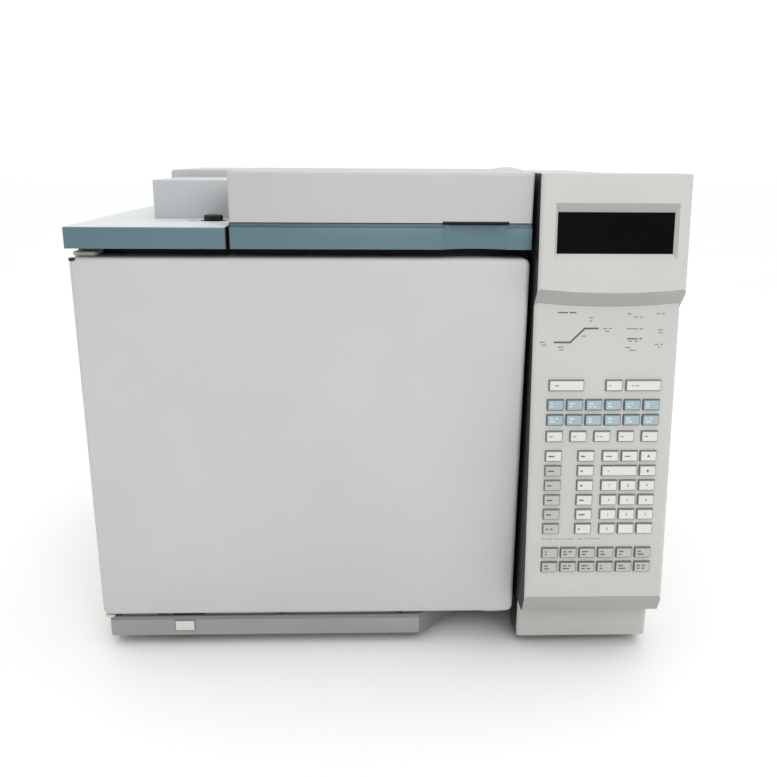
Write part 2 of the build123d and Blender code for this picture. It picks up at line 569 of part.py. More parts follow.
FAN_FRONT = SHROUD_FACE + LINER + 6.0
FAN_BACK = FAN_FRONT + FAN_HEIGHT


def fan_wheel():
    """Radial paddle wheel: back disc, hub and blades."""
    wheel = rod_y(FAN_X, FAN_BACK, FAN_BACK + 1.5, FAN_Z, FAN_RADIUS)
    wheel += rod_y(FAN_X, FAN_FRONT, FAN_BACK, FAN_Z, 13)
    blade = block(26, FAN_RADIUS, FAN_FRONT, FAN_BACK, -0.8, 0.8)
    for i in range(FAN_BLADES):
        wheel += Pos(FAN_X, 0, FAN_Z) * Rot(0, i * 360 / FAN_BLADES, 0) * blade
    return wheel - rod_y(FAN_X, FAN_FRONT - 1, FAN_BACK + 5, FAN_Z, SHAFT_RADIUS)


MOTOR_FRONT = SHELL_BACK + MOTOR_STANDOFF
MOTOR_BACK = MOTOR_FRONT + MOTOR_LENGTH


def fan_shaft():
    return rod_y(FAN_X, FAN_FRONT, MOTOR_BACK - 10, FAN_Z, SHAFT_RADIUS)


def fan_motor():
    """Motor with a finned body on four standoffs against the oven shell."""
    motor = rod_y(FAN_X, MOTOR_FRONT, MOTOR_BACK, FAN_Z, MOTOR_RADIUS)
    motor += rod_y(FAN_X, MOTOR_FRONT - 6, MOTOR_FRONT, FAN_Z, 18)
    motor += rod_y(FAN_X, MOTOR_FRONT, MOTOR_FRONT + 4, FAN_Z, MOTOR_RADIUS + 8)
    for i in range(4):
        leg = rod_y(MOTOR_RADIUS + 2, SHELL_BACK, MOTOR_FRONT, 0, 4)
        motor += Pos(FAN_X, 0, FAN_Z) * Rot(0, 45 + i * 90, 0) * leg
    return motor - rod_y(FAN_X, MOTOR_FRONT - 7, MOTOR_BACK - 9, FAN_Z, SHAFT_RADIUS + SHAFT_FIT)


COLUMN_RADIUS = 86.0
COLUMN_DEPTH = 34.0
COLUMN_GAP = 14.0             # coil behind face to shroud
COLUMN_Z = FAN_Z - 8.0
HANGER_HALF = 22.0


def column_hanger():
    """Bracket on the shroud with two fingers that carry the column cage."""
    top = COLUMN_Z + COLUMN_RADIUS + 20
    plate = block(FAN_X - HANGER_HALF - 6, FAN_X + HANGER_HALF + 6, SHROUD_FACE - SHEET, SHROUD_FACE,
                  top - 8, top + 22)
    for side in (-1, 1):
        x = FAN_X + side * HANGER_HALF
        reach = SHROUD_FACE - SHEET - COLUMN_GAP - COLUMN_DEPTH - 6
        plate += block(x - 3, x + 3, reach, SHROUD_FACE - SHEET, top - 4, top - 4 + SHEET)
        plate += block(x - 3, x + 3, reach, reach + SHEET, top - 4, top + 4)
    return plate


def column_cage():
    """Two rings, four bars and a top rail that hangs on the bracket."""
    back = SHROUD_FACE - SHEET - COLUMN_GAP
    front = back - COLUMN_DEPTH
    top = COLUMN_Z + COLUMN_RADIUS + 20
    cage = None
    for y0 in (front, back - 3):
        ring = rod_y(FAN_X, y0, y0 + 3, COLUMN_Z, COLUMN_RADIUS - 3)
        ring -= rod_y(FAN_X, y0 - 1, y0 + 4, COLUMN_Z, COLUMN_RADIUS - 8)
        strap = block(FAN_X - HANGER_HALF - 5, FAN_X + HANGER_HALF + 5, y0, y0 + 3,
                      COLUMN_Z + COLUMN_RADIUS - 8, top - 4 + SHEET + 5)
        strap -= block(FAN_X - HANGER_HALF - 3.3, FAN_X + HANGER_HALF + 3.3, y0 - 1, y0 + 4,
                       COLUMN_Z + COLUMN_RADIUS + 1, top - 4 + SHEET)
        cage = ring + strap if cage is None else cage + ring + strap
    for i in range(6):
        bar = block(COLUMN_RADIUS - 8, COLUMN_RADIUS - 4, front, back, -3, 3)
        cage += Pos(FAN_X, 0, COLUMN_Z) * Rot(0, 30 + i * 60, 0) * bar
    return cage


def column_coil():
    """The wound capillary as one ring on the cage's bars."""
    back = SHROUD_FACE - SHEET - COLUMN_GAP
    y0, y1 = back - COLUMN_DEPTH + 7, back - 7
    section = Pos(FAN_X + COLUMN_RADIUS - 1, (y0 + y1) / 2, COLUMN_Z) * Rectangle(5, y1 - y0)
    section = chamfer(section.vertices(), 1.2)
    axis = Axis((FAN_X, 0, COLUMN_Z), (0, 1, 0))
    return revolve(section, axis, 360)


def exhaust_duct():
    """Square duct from the oven's back to the rear panel, with the flap shaft's bores."""
    half, outer = DUCT_SIZE / 2, DUCT_SIZE / 2 + DUCT_WALL
    duct = block(DUCT_X - outer, DUCT_X + outer, LINER_BACK, REAR_IN, DUCT_Z - outer, DUCT_Z + outer)
    duct -= block(DUCT_X - half, DUCT_X + half, LINER_BACK - 1, REAR_IN + 1, DUCT_Z - half, DUCT_Z + half)
    for side in (-1, 1):
        x = DUCT_X + side * (outer + 2)
        duct += rod_x(x - 2, x + 2, FLAP_Y, DUCT_Z, 6)
    return duct - rod_x(DUCT_X - outer - 5, DUCT_X + outer + 5, FLAP_Y, DUCT_Z, FLAP_SHAFT + RUN_FIT)


def vent_flap():
    """Butterfly flap on its shaft."""
    half = DUCT_SIZE / 2 - FLAP_CLEARANCE
    plate = block(DUCT_X - half, DUCT_X + half, FLAP_Y - 0.8, FLAP_Y + 0.8, DUCT_Z - half, DUCT_Z + half)
    reach = DUCT_SIZE / 2 + DUCT_WALL + 6
    shaft = rod_x(DUCT_X - reach, DUCT_X + reach + 8, FLAP_Y, DUCT_Z, FLAP_SHAFT)
    return plate + shaft


# ---- Oven door -----------------------------------------------------------------------------------------
def door_skin():
    """Moulded door shell with rounded edges, hinge bosses at the left and the latch's slot below."""
    skin = round_block(DOOR_LEFT, DOOR_RIGHT, DOOR_FACE, DOOR_BACK, DOOR_BOTTOM, DOOR_TOP, DOOR_CORNER)
    skin = fillet(skin.faces().sort_by(Axis.Y)[0].edges(), DOOR_EDGE_ROUND)
    skin -= block(DOOR_LEFT + DOOR_WALL, DOOR_RIGHT - DOOR_WALL, DOOR_FACE + DOOR_WALL, DOOR_BACK + 1,
                  DOOR_BOTTOM + DOOR_WALL, DOOR_TOP - DOOR_WALL)
    boss_y = HINGE_PIN_RADIUS + 4
    for low, high in ((DOOR_BOTTOM, DOOR_BOTTOM + HINGE_PIN_LENGTH + 3),
                      (DOOR_TOP - HINGE_PIN_LENGTH - 3, DOOR_TOP)):
        skin += block(DOOR_LEFT + DOOR_WALL - 1, HINGE_X + boss_y, HINGE_Y - boss_y, HINGE_Y + boss_y,
                      low, high)
    bore = HINGE_PIN_RADIUS + RUN_FIT
    skin -= rod_z(HINGE_X, HINGE_Y, DOOR_BOTTOM - 1, DOOR_BOTTOM + HINGE_PIN_LENGTH + 1, bore)
    skin -= rod_z(HINGE_X, HINGE_Y, DOOR_TOP - HINGE_PIN_LENGTH - 1, DOOR_TOP + 1, bore)
    x0, x1 = LATCH_LEFT - 1, LATCH_LEFT + LATCH_WIDTH + 1
    skin -= block(x0, x1, DOOR_FACE + 7, DOOR_BACK - 4, DOOR_BOTTOM - 1, DOOR_BOTTOM + DOOR_WALL + 1)
    for bx in (x0 - 5, x1):
        skin += block(bx, bx + 5, LATCH_PIVOT_Y - 5, LATCH_PIVOT_Y + 5, DOOR_BOTTOM + DOOR_WALL - 0.5,
                      LATCH_PIVOT_Z + 5)
    return skin - rod_x(x0 - 6, x1 + 6, LATCH_PIVOT_Y, LATCH_PIVOT_Z, LATCH_PIN_RADIUS)


PLUG_X0 = CAVITY_LEFT + PLUG_CLEARANCE
PLUG_X1 = CAVITY_RIGHT - PLUG_CLEARANCE
PLUG_Z0 = CAVITY_BOTTOM + PLUG_CLEARANCE
PLUG_Z1 = CAVITY_TOP - PLUG_CLEARANCE


def door_liner():
    """Steel back of the door, pressed out into the plug that fills the oven's mouth."""
    back = DOOR_BACK
    sheet = block(DOOR_LEFT + DOOR_WALL, DOOR_RIGHT - DOOR_WALL, back - LINER, back,
                  DOOR_BOTTOM + DOOR_WALL, DOOR_TOP - DOOR_WALL)
    plug = round_block(PLUG_X0, PLUG_X1, back - LINER, PLUG_FACE, PLUG_Z0, PLUG_Z1, 8)
    liner = sheet + plug
    liner -= round_block(PLUG_X0 + LINER, PLUG_X1 - LINER, back - LINER - 1, PLUG_FACE - LINER,
                         PLUG_Z0 + LINER, PLUG_Z1 - LINER, 8 - LINER)
    boss = HINGE_PIN_RADIUS + 4
    for z0, z1 in ((DOOR_BOTTOM, DOOR_BOTTOM + HINGE_PIN_LENGTH + 3), (DOOR_TOP - HINGE_PIN_LENGTH - 3, DOOR_TOP)):
        liner -= block(DOOR_LEFT, HINGE_X + boss, HINGE_Y - boss, HINGE_Y + boss, z0, z1)
    return liner - block(NOSE_X0 - 1, NOSE_X1 + 1, back - 2 * LINER, back + 1, LATCH_PIVOT_Z - 9, STRIKE_Z)


def door_insulation():
    """Insulation block from the door's face into the plug."""
    room = block(PLUG_X0 - 10, PLUG_X1 + 10, DOOR_FACE + DOOR_WALL, DOOR_BACK - LINER, PLUG_Z0 - 10, PLUG_Z1 + 10)
    return room + round_block(PLUG_X0 + LINER, PLUG_X1 - LINER, DOOR_BACK - LINER, PLUG_FACE - LINER,
                              PLUG_Z0 + LINER, PLUG_Z1 - LINER, 8 - LINER)


def door_seal():
    """Rope seal on the frame round the oven's mouth."""
    m = 6.0
    y0, y1 = DOOR_BACK + 0.3, FRAME_FRONT
    ring = round_block(CAVITY_LEFT - m - SEAL_WIDTH, CAVITY_RIGHT + m + SEAL_WIDTH, y0, y1,
                       CAVITY_BOTTOM - m - SEAL_WIDTH, CAVITY_TOP + m + SEAL_WIDTH, 14)
    return ring - round_block(CAVITY_LEFT - m, CAVITY_RIGHT + m, y0 - 1, y1 + 1, CAVITY_BOTTOM - m,
                              CAVITY_TOP + m, 6)


def door_hinge_brackets():
    """Top and bottom hinge plates on the frame, each with its pin."""
    brackets = []
    for face, toward in ((DOOR_TOP, -1), (DOOR_BOTTOM, 1)):
        near = face - toward * HINGE_GAP
        far = near - toward * HINGE_PLATE
        z0, z1 = min(near, far), max(near, far)
        plate = block(DOOR_LEFT, HINGE_X + 18, HINGE_Y - 10, FRAME_FRONT, z0, z1)
        plate = fillet(plate.edges().filter_by(Axis.Z).sort_by(Axis.Y)[:2], 5)
        tab_z = z1 + 4 if toward < 0 else z0 - 8
        plate += block(SKIRT_LEFT + SKIRT_WALL + 1, HINGE_X + 18, FRAME_FRONT - SHEET, FRAME_FRONT,
                       min(z0, tab_z), max(z1, tab_z))
        tip = near + toward * (HINGE_GAP + HINGE_PIN_LENGTH)
        brackets.append(plate + rod_z(HINGE_X, HINGE_Y, min(near, tip), max(near, tip), HINGE_PIN_RADIUS))
    return brackets


def latch_pin():
    return rod_x(LATCH_LEFT - 6, LATCH_LEFT + LATCH_WIDTH + 6, LATCH_PIVOT_Y, LATCH_PIVOT_Z, LATCH_PIN_RADIUS)


def latch_lever():
    """Bent lever: paddle under the door, barrel on the pin and a nose through the frame."""
    x0, x1 = LATCH_LEFT, LATCH_LEFT + LATCH_WIDTH
    hub = rod_x(x0, x1, LATCH_PIVOT_Y, LATCH_PIVOT_Z, LATCH_PIN_RADIUS + 2)
    low = DOOR_BOTTOM - 6
    web = block(x0 + 2, x1 - 2, LATCH_PIVOT_Y - 1, LATCH_PIVOT_Y + 1, low, LATCH_PIVOT_Z - 2)
    paddle = block(x0 + 2, x1 - 2, LATCH_PIVOT_Y - 14, LATCH_PIVOT_Y + 1, low, low + LATCH_PLATE)
    arm = block(NOSE_X0, NOSE_X1, LATCH_PIVOT_Y + 2, LATCH_PIVOT_Y + LATCH_REACH, LATCH_PIVOT_Z - 1,
                LATCH_PIVOT_Z + 2)
    hook = block(NOSE_X0, NOSE_X1, LATCH_PIVOT_Y + LATCH_REACH - 3, LATCH_PIVOT_Y + LATCH_REACH,
                 LATCH_PIVOT_Z, STRIKE_Z - STRIKE_CLEARANCE)
    lever = hub + web + paddle + arm + hook
    return lever - rod_x(x0 - 1, x1 + 1, LATCH_PIVOT_Y, LATCH_PIVOT_Z, LATCH_PIN_RADIUS + RUN_FIT)


# ---- Top: deck, fascia, lid and covers --------------------------------------------------------------------
def inlet_deck():
    """Coloured moulded deck over the oven's left side, running back beside the rear cover."""
    outline = [(LEFT, DOOR_FACE), (DECK_RIGHT, DOOR_FACE), (DECK_RIGHT, REAR_COVER_FRONT),
               (REAR_COVER_LEFT, REAR_COVER_FRONT), (REAR_COVER_LEFT, REAR_FACE), (LEFT, REAR_FACE)]
    deck = plan_prism(outline, BAND_BOTTOM, DECK_TOP)
    front = deck.faces().filter_by(Axis.Y).sort_by(Axis.Y)[0]
    deck = fillet(front.edges().filter_by(Axis.X).sort_by(Axis.Z)[-1], 2)
    m = MOULDING
    inside = [(LEFT + m, DOOR_FACE + m), (DECK_RIGHT - m, DOOR_FACE + m), (DECK_RIGHT - m, REAR_COVER_FRONT - m),
              (REAR_COVER_LEFT - m, REAR_COVER_FRONT - m), (REAR_COVER_LEFT - m, REAR_FACE - m),
              (LEFT + m, REAR_FACE - m)]
    deck -= plan_prism(inside, BAND_BOTTOM - 1, DECK_TOP - m)
    for x, y in inlet_places():
        deck -= rod_z(x, y, BAND_BOTTOM, DECK_TOP + 1, INLET_WELL_RADIUS)
    deck += rod_z(SOCKET_X, SOCKET_Y, DECK_TOP - 12, DECK_TOP + 1, SOCKET_RADIUS + 2)
    return deck - rod_z(SOCKET_X, SOCKET_Y, DECK_TOP - 10, DECK_TOP + 2, SOCKET_RADIUS)


def front_fascia():
    """Coloured trim in front of the lid's foot, with the finger scoop."""
    x0 = DECK_RIGHT + DECK_SPLIT
    back = DOOR_BACK + 16
    bar = block(x0, DOOR_RIGHT, DOOR_FACE, back, BAND_BOTTOM, DECK_TOP)
    bar += block(x0, DOOR_RIGHT, DOOR_FACE + REBATE, back, DECK_TOP, DECK_TOP + REBATE_HEIGHT)
    bar -= block(x0 + 3, DOOR_RIGHT - 3, DOOR_FACE + SCOOP_DEPTH + 6, back + 1, BAND_BOTTOM - 1,
                 DECK_TOP + REBATE_HEIGHT - 3)
    radius = (SCOOP_WIDTH ** 2 / 4 + SCOOP_DEPTH ** 2) / (2 * SCOOP_DEPTH)
    centre = DOOR_FACE - radius + SCOOP_DEPTH
    bar -= rod_z(SCOOP_LEFT + SCOOP_WIDTH / 2, centre, BAND_BOTTOM - 1, DECK_TOP + REBATE_HEIGHT + 1, radius)
    return bar


def lid_ear_places():
    return [LID_LEFT + 24.0, LID_RIGHT - 24.0 - LID_EAR]


def detector_lid():
    """Hinged cover over the detectors: front, sides and top, open below and behind."""
    lid = block(LID_LEFT, LID_RIGHT, DOOR_FACE, LID_BACK, LID_BOTTOM, LID_TOP)
    front = lid.faces().sort_by(Axis.Y)[0]
    lid = fillet(front.edges().filter_by(Axis.Z) + front.edges().sort_by(Axis.Z)[-1:], 3)
    m = MOULDING
    lid -= block(LID_LEFT + m, LID_RIGHT - m, DOOR_FACE + m, LID_BACK + 1, LID_BOTTOM - 1, LID_TOP - m)
    for x in lid_ear_places():
        lid += block(x, x + LID_EAR, LID_HINGE_Y - 5, LID_BACK, LID_HINGE_Z - 5, LID_TOP - m)
    return lid - rod_x(LID_LEFT + 5, LID_RIGHT - 5, LID_HINGE_Y, LID_HINGE_Z, LID_PIN_RADIUS + RUN_FIT)


def lid_hinge_lugs():
    """Lugs on the rear cover's front, kept under the lid's swing, with pins through the lid's ears."""
    lugs = None
    y, z = LID_HINGE_Y, LID_HINGE_Z
    for x in lid_ear_places():
        x0, x1 = x + LID_EAR + 0.5, x + LID_EAR + 4.5
        lug = rod_x(x0, x1, y, z, LID_PIN_RADIUS + 2.5) + block(x0, x1, y - 4, y + 4, z - 14, z)
        lug += block(x0, x1, y - 4, REAR_COVER_FRONT, z - 14, z - 7)
        lug += rod_x(x - 2, x0, y, z, LID_PIN_RADIUS)
        lugs = lug if lugs is None else lugs + lug
    return lugs


def rear_cover():
    """Cover over the gas control modules, vented at the back."""
    cover = block(REAR_COVER_LEFT, BAY_WALL, REAR_COVER_FRONT, REAR_FACE, BAND_BOTTOM, REAR_COVER_TOP)
    cover = fillet(cover.edges().filter_by(Axis.Y).sort_by(Axis.Z)[-2:].sort_by(Axis.X)[0], 4)
    m = MOULDING
    cover -= block(REAR_COVER_LEFT + m, BAY_WALL - m, REAR_COVER_FRONT + m, REAR_FACE - m, BAND_BOTTOM - 1,
                   REAR_COVER_TOP - m)
    for x in spaced(REAR_COVER_LEFT + 40, BAY_WALL - 40, 20):
        cover -= block(x, x + 10, REAR_FACE - m - 1, REAR_FACE + 1, REAR_COVER_TOP - 30, REAR_COVER_TOP - 12)
    return cover + lid_hinge_lugs()


def inlet_cover():
    """Plain metal cover over the back inlet, in front of the rear cover."""
    top = DECK_TOP + INLET_COVER_HEIGHT
    cover = block(INLET_COVER_LEFT, DECK_RIGHT, INLET_COVER_FRONT, REAR_COVER_FRONT, DECK_TOP, top)
    return cover - block(INLET_COVER_LEFT + SHEET, DECK_RIGHT - SHEET, INLET_COVER_FRONT + SHEET,
                         REAR_COVER_FRONT - SHEET, DECK_TOP - 1, top - SHEET)


def inlet_bodies():
    """Two heated inlets through the oven's roof, a column nut below and a threaded head above."""
    bodies = []
    for x, y in inlet_places():
        body = rod_z(x, y, CAVITY_TOP - 12, BAND_BOTTOM + 4, INLET_RADIUS)
        body += rod_z(x, y, BAND_BOTTOM, DECK_TOP - 4, 8)
        body += rod_z(x, y, SHELL_TOP, BAND_BOTTOM, INLET_WELL_RADIUS - 0.2)
        body += rod_z(x, y, CAVITY_TOP - 30, CAVITY_TOP - 12, 5)
        bodies.append(body - rod_z(x, y, DECK_TOP - 40, DECK_TOP, NEEDLE_RADIUS))
    return bodies


def septum_nuts():
    """Knurled caps on the inlets with a needle hole."""
    nuts = []
    for x, y in inlet_places():
        low = DECK_TOP - 4
        nut = rod_z(x, y, low, low + SEPTUM_NUT_HEIGHT, SEPTUM_NUT_RADIUS)
        grip = rod_z(SEPTUM_NUT_RADIUS + 0.6, 0, low - 1, low + SEPTUM_NUT_HEIGHT - 2.5, 1.5)
        for i in range(12):
            nut -= Pos(x, y, 0) * Rot(0, 0, i * 30) * grip
        nut -= Pos(x, y, low + SEPTUM_NUT_HEIGHT - 1.5) * Cone(NEEDLE_RADIUS, 4.5, 3.001)
        nuts.append(nut - rod_z(x, y, low - 1, low + SEPTUM_NUT_HEIGHT + 1, NEEDLE_RADIUS))
    return nuts


def detectors():
    """Two flame detectors: heated base, castle and collector cap."""
    bodies = []
    for x, y in detector_places():
        body = rod_z(x, y, CAVITY_TOP - 8, SHELL_TOP, DETECTOR_RADIUS)
        body += block(x - 24, x + 24, y - 20, y + 20, BAND_BOTTOM, BAND_BOTTOM + 18)
        body += rod_z(x, y, SHELL_TOP, BAND_BOTTOM, DETECTOR_RADIUS)
        body += rod_z(x, y, BAND_BOTTOM + 18, BAND_BOTTOM + 46, 15)
        body += rod_z(x, y, BAND_BOTTOM + 46, BAND_BOTTOM + 60, 11)
        body += rod_z(x, y, CAVITY_TOP - 24, CAVITY_TOP - 8, 5)
        bodies.append(body)
    return bodies


MODULE_PITCH = 62.0


def gas_modules():
    """Four electronic pressure modules on the top plate under the rear cover."""
    modules = []
    for i in range(4):
        x = CAVITY_LEFT + 61.0 + i * MODULE_PITCH
        front, back = REAR_COVER_FRONT + 32, REAR_FACE - 42
        body = block(x, x + 44, front, back, BAND_BOTTOM, BAND_BOTTOM + 34)
        body += block(x + 6, x + 38, front + 14, back - 14, BAND_BOTTOM + 34, BAND_BOTTOM + 48)
        for k in range(3):
            body += rod_y(x + 9 + k * 13, back, back + 14, BAND_BOTTOM + 17, 4)
        modules.append(body)
    return modules


def gas_fittings():
    """Bulkhead unions on the rear panel."""
    unions = []
    for i in range(4):
        x = FITTING_X + i * FITTING_PITCH
        hexagon = Pos(x, REAR_FACE, FITTING_Z) * Rot(90, 0, 0) * extrude(RegularPolygon(8, 6), -5)
        body = hexagon + rod_y(x, REAR_FACE - 14, DEPTH / 2, FITTING_Z, FITTING_RADIUS)
        unions.append(body - rod_y(x, REAR_FACE, DEPTH / 2 + 1, FITTING_Z, 1.6))
    return unions


# ---- Keypad tower -------------------------------------------------------------------------------------------
def hood_underside(edge_y, edge_z, x0, x1):
    """Everything under the hood's curved, back-sloping underside."""
    start = 20.0                               # begin in front of the edge, on the same slope
    slope = (edge_z - NECK_Z) / (NECK_Y - edge_y)
    z_end, z_mid = edge_z + start * slope, edge_z + start * slope - HOOD_DIP
    y = edge_y - start
    arc = ThreePointArc((x0, y, z_end), ((x0 + x1) / 2, y, z_mid), (x1, y, z_end))
    sides = Polyline((x1, y, z_end), (x1, y, z_end - 120), (x0, y, z_end - 120), (x0, y, z_end))
    run = 60.0
    return extrude(make_face([arc, sides]), run * sqrt(1 + slope ** 2), dir=(0, 1, -slope))


def tower_form(inset):
    """The tower's outer form, or the room inside its walls when inset is the wall's thickness."""
    x0, x1 = TOWER_LEFT + inset, RIGHT - inset
    back = TOWER_BACK + (1 if inset else 0)
    top, low = TOWER_TOP - inset, TOWER_BASE_TOP + inset
    face_inset = inset / cos(KEYPAD_LEAN)
    face_slope = (NECK_Y - LIP_Y) / (NECK_Z - LIP_Z)
    face_top = NECK_Y + (top - NECK_Z) * face_slope + face_inset
    column = side_prism([(back, top), (face_top, top), (LIP_Y + face_inset, LIP_Z),
                         (LIP_Y + LIP_CHAMFER + face_inset, low), (back, low)], x0, x1)
    hood_slope = (HOOD_TOP_Y - HOOD_EDGE_Y) / (TOWER_TOP - HOOD_EDGE_Z)
    hood_low = HOOD_EDGE_Z - 30
    hood = side_prism([(back, top), (HOOD_TOP_Y + inset - hood_slope * inset, top),
                       (HOOD_EDGE_Y + inset - hood_slope * 30, hood_low), (back, hood_low)], x0, x1)
    return column, hood - hood_underside(HOOD_EDGE_Y, HOOD_EDGE_Z + inset * 1.6, x0 - 5, x1 + 5)


def tower_housing():
    """Moulded tower: leaning keypad face, overhanging hood with the display recess, and key openings."""
    column, hood = tower_form(0)
    body = column + hood
    uprights = [e for e in body.edges() if e.length > 60 and abs(e.tangent_at(0.5).Z) > 0.9
                and e.center().Y < TOWER_BACK - 5]
    body = fillet(uprights, TOWER_ROUND)
    column_in, hood_in = tower_form(TOWER_WALL)
    body -= column_in + hood_in
    body += window_collar()
    body -= display_recess()
    for u0, u1, w0, w1 in all_keys():
        body -= key_prism(u0, u1, w0, w1, KEY_CLEARANCE, KEY_PROUD + 1, -TOWER_WALL - 1)
    return body


def window_collar():
    """Frame behind the hood's face that holds the window and carries the display board."""
    mid_x, mid_z = (WINDOW_LEFT + WINDOW_RIGHT) / 2, (WINDOW_LOW + WINDOW_HIGH) / 2
    width, height = WINDOW_RIGHT - WINDOW_LEFT + 12, WINDOW_HIGH - WINDOW_LOW + 12
    depth = WINDOW_SINK + WINDOW_THICK
    frame = hood_place(mid_x, mid_z, -depth) * Rectangle(width, height)
    return extrude(frame, depth - TOWER_WALL / 2, dir=(0, -cos(HOOD_LEAN), sin(HOOD_LEAN)))


def display_recess():
    """Tapered opening in the hood's face down to the window."""
    mid_x, mid_z = (WINDOW_LEFT + WINDOW_RIGHT) / 2, (WINDOW_LOW + WINDOW_HIGH) / 2
    width, height = WINDOW_RIGHT - WINDOW_LEFT, WINDOW_HIGH - WINDOW_LOW
    inner = hood_place(mid_x, mid_z, -WINDOW_SINK) * Rectangle(width, height)
    lift = (BEVEL_TOP - BEVEL_BOTTOM) / 2
    outer = hood_place(mid_x, mid_z + lift) * Rectangle(width + 2 * BEVEL_SIDE, height + BEVEL_TOP + BEVEL_BOTTOM)
    taper = loft([inner, outer])
    through = extrude(inner, TOWER_WALL + WINDOW_SINK, dir=(0, cos(HOOD_LEAN), -sin(HOOD_LEAN)))
    front = extrude(outer, 4, dir=(0, -cos(HOOD_LEAN), sin(HOOD_LEAN)))
    return taper + front + through


def display_window():
    """Dark glass over the display."""
    mid_x, mid_z = (WINDOW_LEFT + WINDOW_RIGHT) / 2, (WINDOW_LOW + WINDOW_HIGH) / 2
    pane = hood_place(mid_x, mid_z, -WINDOW_SINK) * Rectangle(WINDOW_RIGHT - WINDOW_LEFT, WINDOW_HIGH - WINDOW_LOW)
    return extrude(pane, WINDOW_THICK, dir=(0, cos(HOOD_LEAN), -sin(HOOD_LEAN)))


def display_module():
    """Display board on the hood's inner face, with its tube in front of the window's room."""
    mid_x, mid_z = (WINDOW_LEFT + WINDOW_RIGHT) / 2, (WINDOW_LOW + WINDOW_HIGH) / 2
    width, height = WINDOW_RIGHT - WINDOW_LEFT + 12, WINDOW_HIGH - WINDOW_LOW + 12
    into = (0, cos(HOOD_LEAN), -sin(HOOD_LEAN))
    seat = -WINDOW_SINK - WINDOW_THICK
    board = extrude(hood_place(mid_x, mid_z, seat) * Rectangle(width, height), 1.6, dir=into)
    parts = extrude(hood_place(mid_x, mid_z, seat - 1.6) * Rectangle(width - 30, height - 24), 8, dir=into)
    return board + parts


def key_prism(u0, u1, w0, w1, grow, out, back):
    """A block on the keypad face between u0..u1 and w0..w1, from `out` in front to `back` behind it."""
    place = keypad_place((u0 + u1) / 2, (w0 + w1) / 2, back)
    face = place * Rectangle(u1 - u0 + 2 * grow, w1 - w0 + 2 * grow)
    return extrude(face, out - back, dir=tuple(KEYPAD_OUT))


def key_row(w, starts, width=KEY_WIDTH):
    """Keys of one height with their left edges at the given places."""
    return [(u, u + width, w, w + KEY_HEIGHT) for u in starts]


def spread(count):
    """Left edges of equal keys between the first and last column."""
    pitch = (KEY_RIGHT - KEY_LEFT - KEY_WIDTH) / (count - 1)
    return [KEY_LEFT + i * pitch for i in range(count)]


SECOND_COLUMN_U = KEY_LEFT + 32.1
WIDE_KEY = 2 * KEY_WIDTH + KEY_GAP - 0.92
BLOCK_ROWS = 6
ROW_PITCH = KEY_HEIGHT + ROW_GAP
LOWER_ROW_W = KEYPAD_LENGTH - KEY_FOOT - ROW_PITCH - KEY_HEIGHT
BLOCK_ROW_W = LOWER_ROW_W - LOWER_SPACE - KEY_HEIGHT - (BLOCK_ROWS - 1) * ROW_PITCH
FUNCTION_ROW_W = BLOCK_ROW_W - BLOCK_SPACE - KEY_HEIGHT
ZONE_ROW_W = FUNCTION_ROW_W - FUNCTION_SPACE - KEY_HEIGHT - ROW_PITCH
TOP_ROW_W = ZONE_ROW_W - ZONE_SPACE - KEY_HEIGHT


def key_groups():
    """The keypad's keys, grouped as they share a cap and a use: {node: [(u0, u1, w0, w1), ...]}."""
    six, five = spread(6), spread(5)
    number_columns = six[3:6]
    rows = [BLOCK_ROW_W + i * ROW_PITCH for i in range(BLOCK_ROWS)]
    enter_width = number_columns[1] + KEY_WIDTH - number_columns[0]
    numbers = key_row(rows[0], number_columns[:2])
    for w in rows[2:]:
        numbers += key_row(w, number_columns)
    return {
        "key_start": key_row(TOP_ROW_W, [KEY_LEFT + 1], WIDE_KEY),
        "key_stop": key_row(TOP_ROW_W, [number_columns[0]]),
        "key_prepare": key_row(TOP_ROW_W, [KEY_RIGHT - WIDE_KEY], WIDE_KEY),
        "keys_zone": key_row(ZONE_ROW_W, six) + key_row(ZONE_ROW_W + ROW_PITCH, six),
        "keys_function": key_row(FUNCTION_ROW_W, five),
        "keys_setup": [key for w in rows for key in key_row(w, [KEY_LEFT, SECOND_COLUMN_U])],
        "keys_arrow": key_row(rows[0], number_columns[2:]) + key_row(rows[1], number_columns[2:]),
        "key_enter": key_row(rows[1], number_columns[:1], enter_width),
        "keys_number": numbers,
        "keys_lower": key_row(LOWER_ROW_W, six) + key_row(LOWER_ROW_W + ROW_PITCH, six),
    }


def all_keys():
    return [key for keys in key_groups().values() for key in keys]


def key_cap(u0, u1, w0, w1):
    """One key: rounded cap through the face and a flange that keeps it in."""
    cap = key_prism(u0, u1, w0, w1, 0, KEY_PROUD, -TOWER_WALL - KEY_CLEARANCE)
    out_axis = Axis((0, 0, 0), tuple(KEYPAD_OUT))
    cap = chamfer(cap.faces().sort_by(out_axis)[-1].edges(), 0.7)
    flange = key_prism(u0, u1, w0, w1, KEY_FLANGE, -TOWER_WALL - KEY_CLEARANCE,
                       -TOWER_WALL - KEY_CLEARANCE - KEY_FLANGE_THICK)
    return cap + flange


def keypad_board():
    """Switch board behind the keys, with its rubber mat, on four bosses of the tower."""
    back = -TOWER_WALL - 2 * KEY_CLEARANCE - KEY_FLANGE_THICK - KEY_TRAVEL
    w0, w1 = TOP_ROW_W - 5, LOWER_ROW_W + ROW_PITCH + KEY_HEIGHT + 5
    board = key_prism(KEY_LEFT - 6, KEY_RIGHT + 6, w0, w1, 0, back, back - 3.2)
    for u in (KEY_LEFT - 4, KEY_RIGHT + 4):
        for w in (w0 + 2, w1 - 2):
            board += key_prism(u - 1.5, u + 1.5, w - 1.5, w + 1.5, 0, -TOWER_WALL, back)
    return board


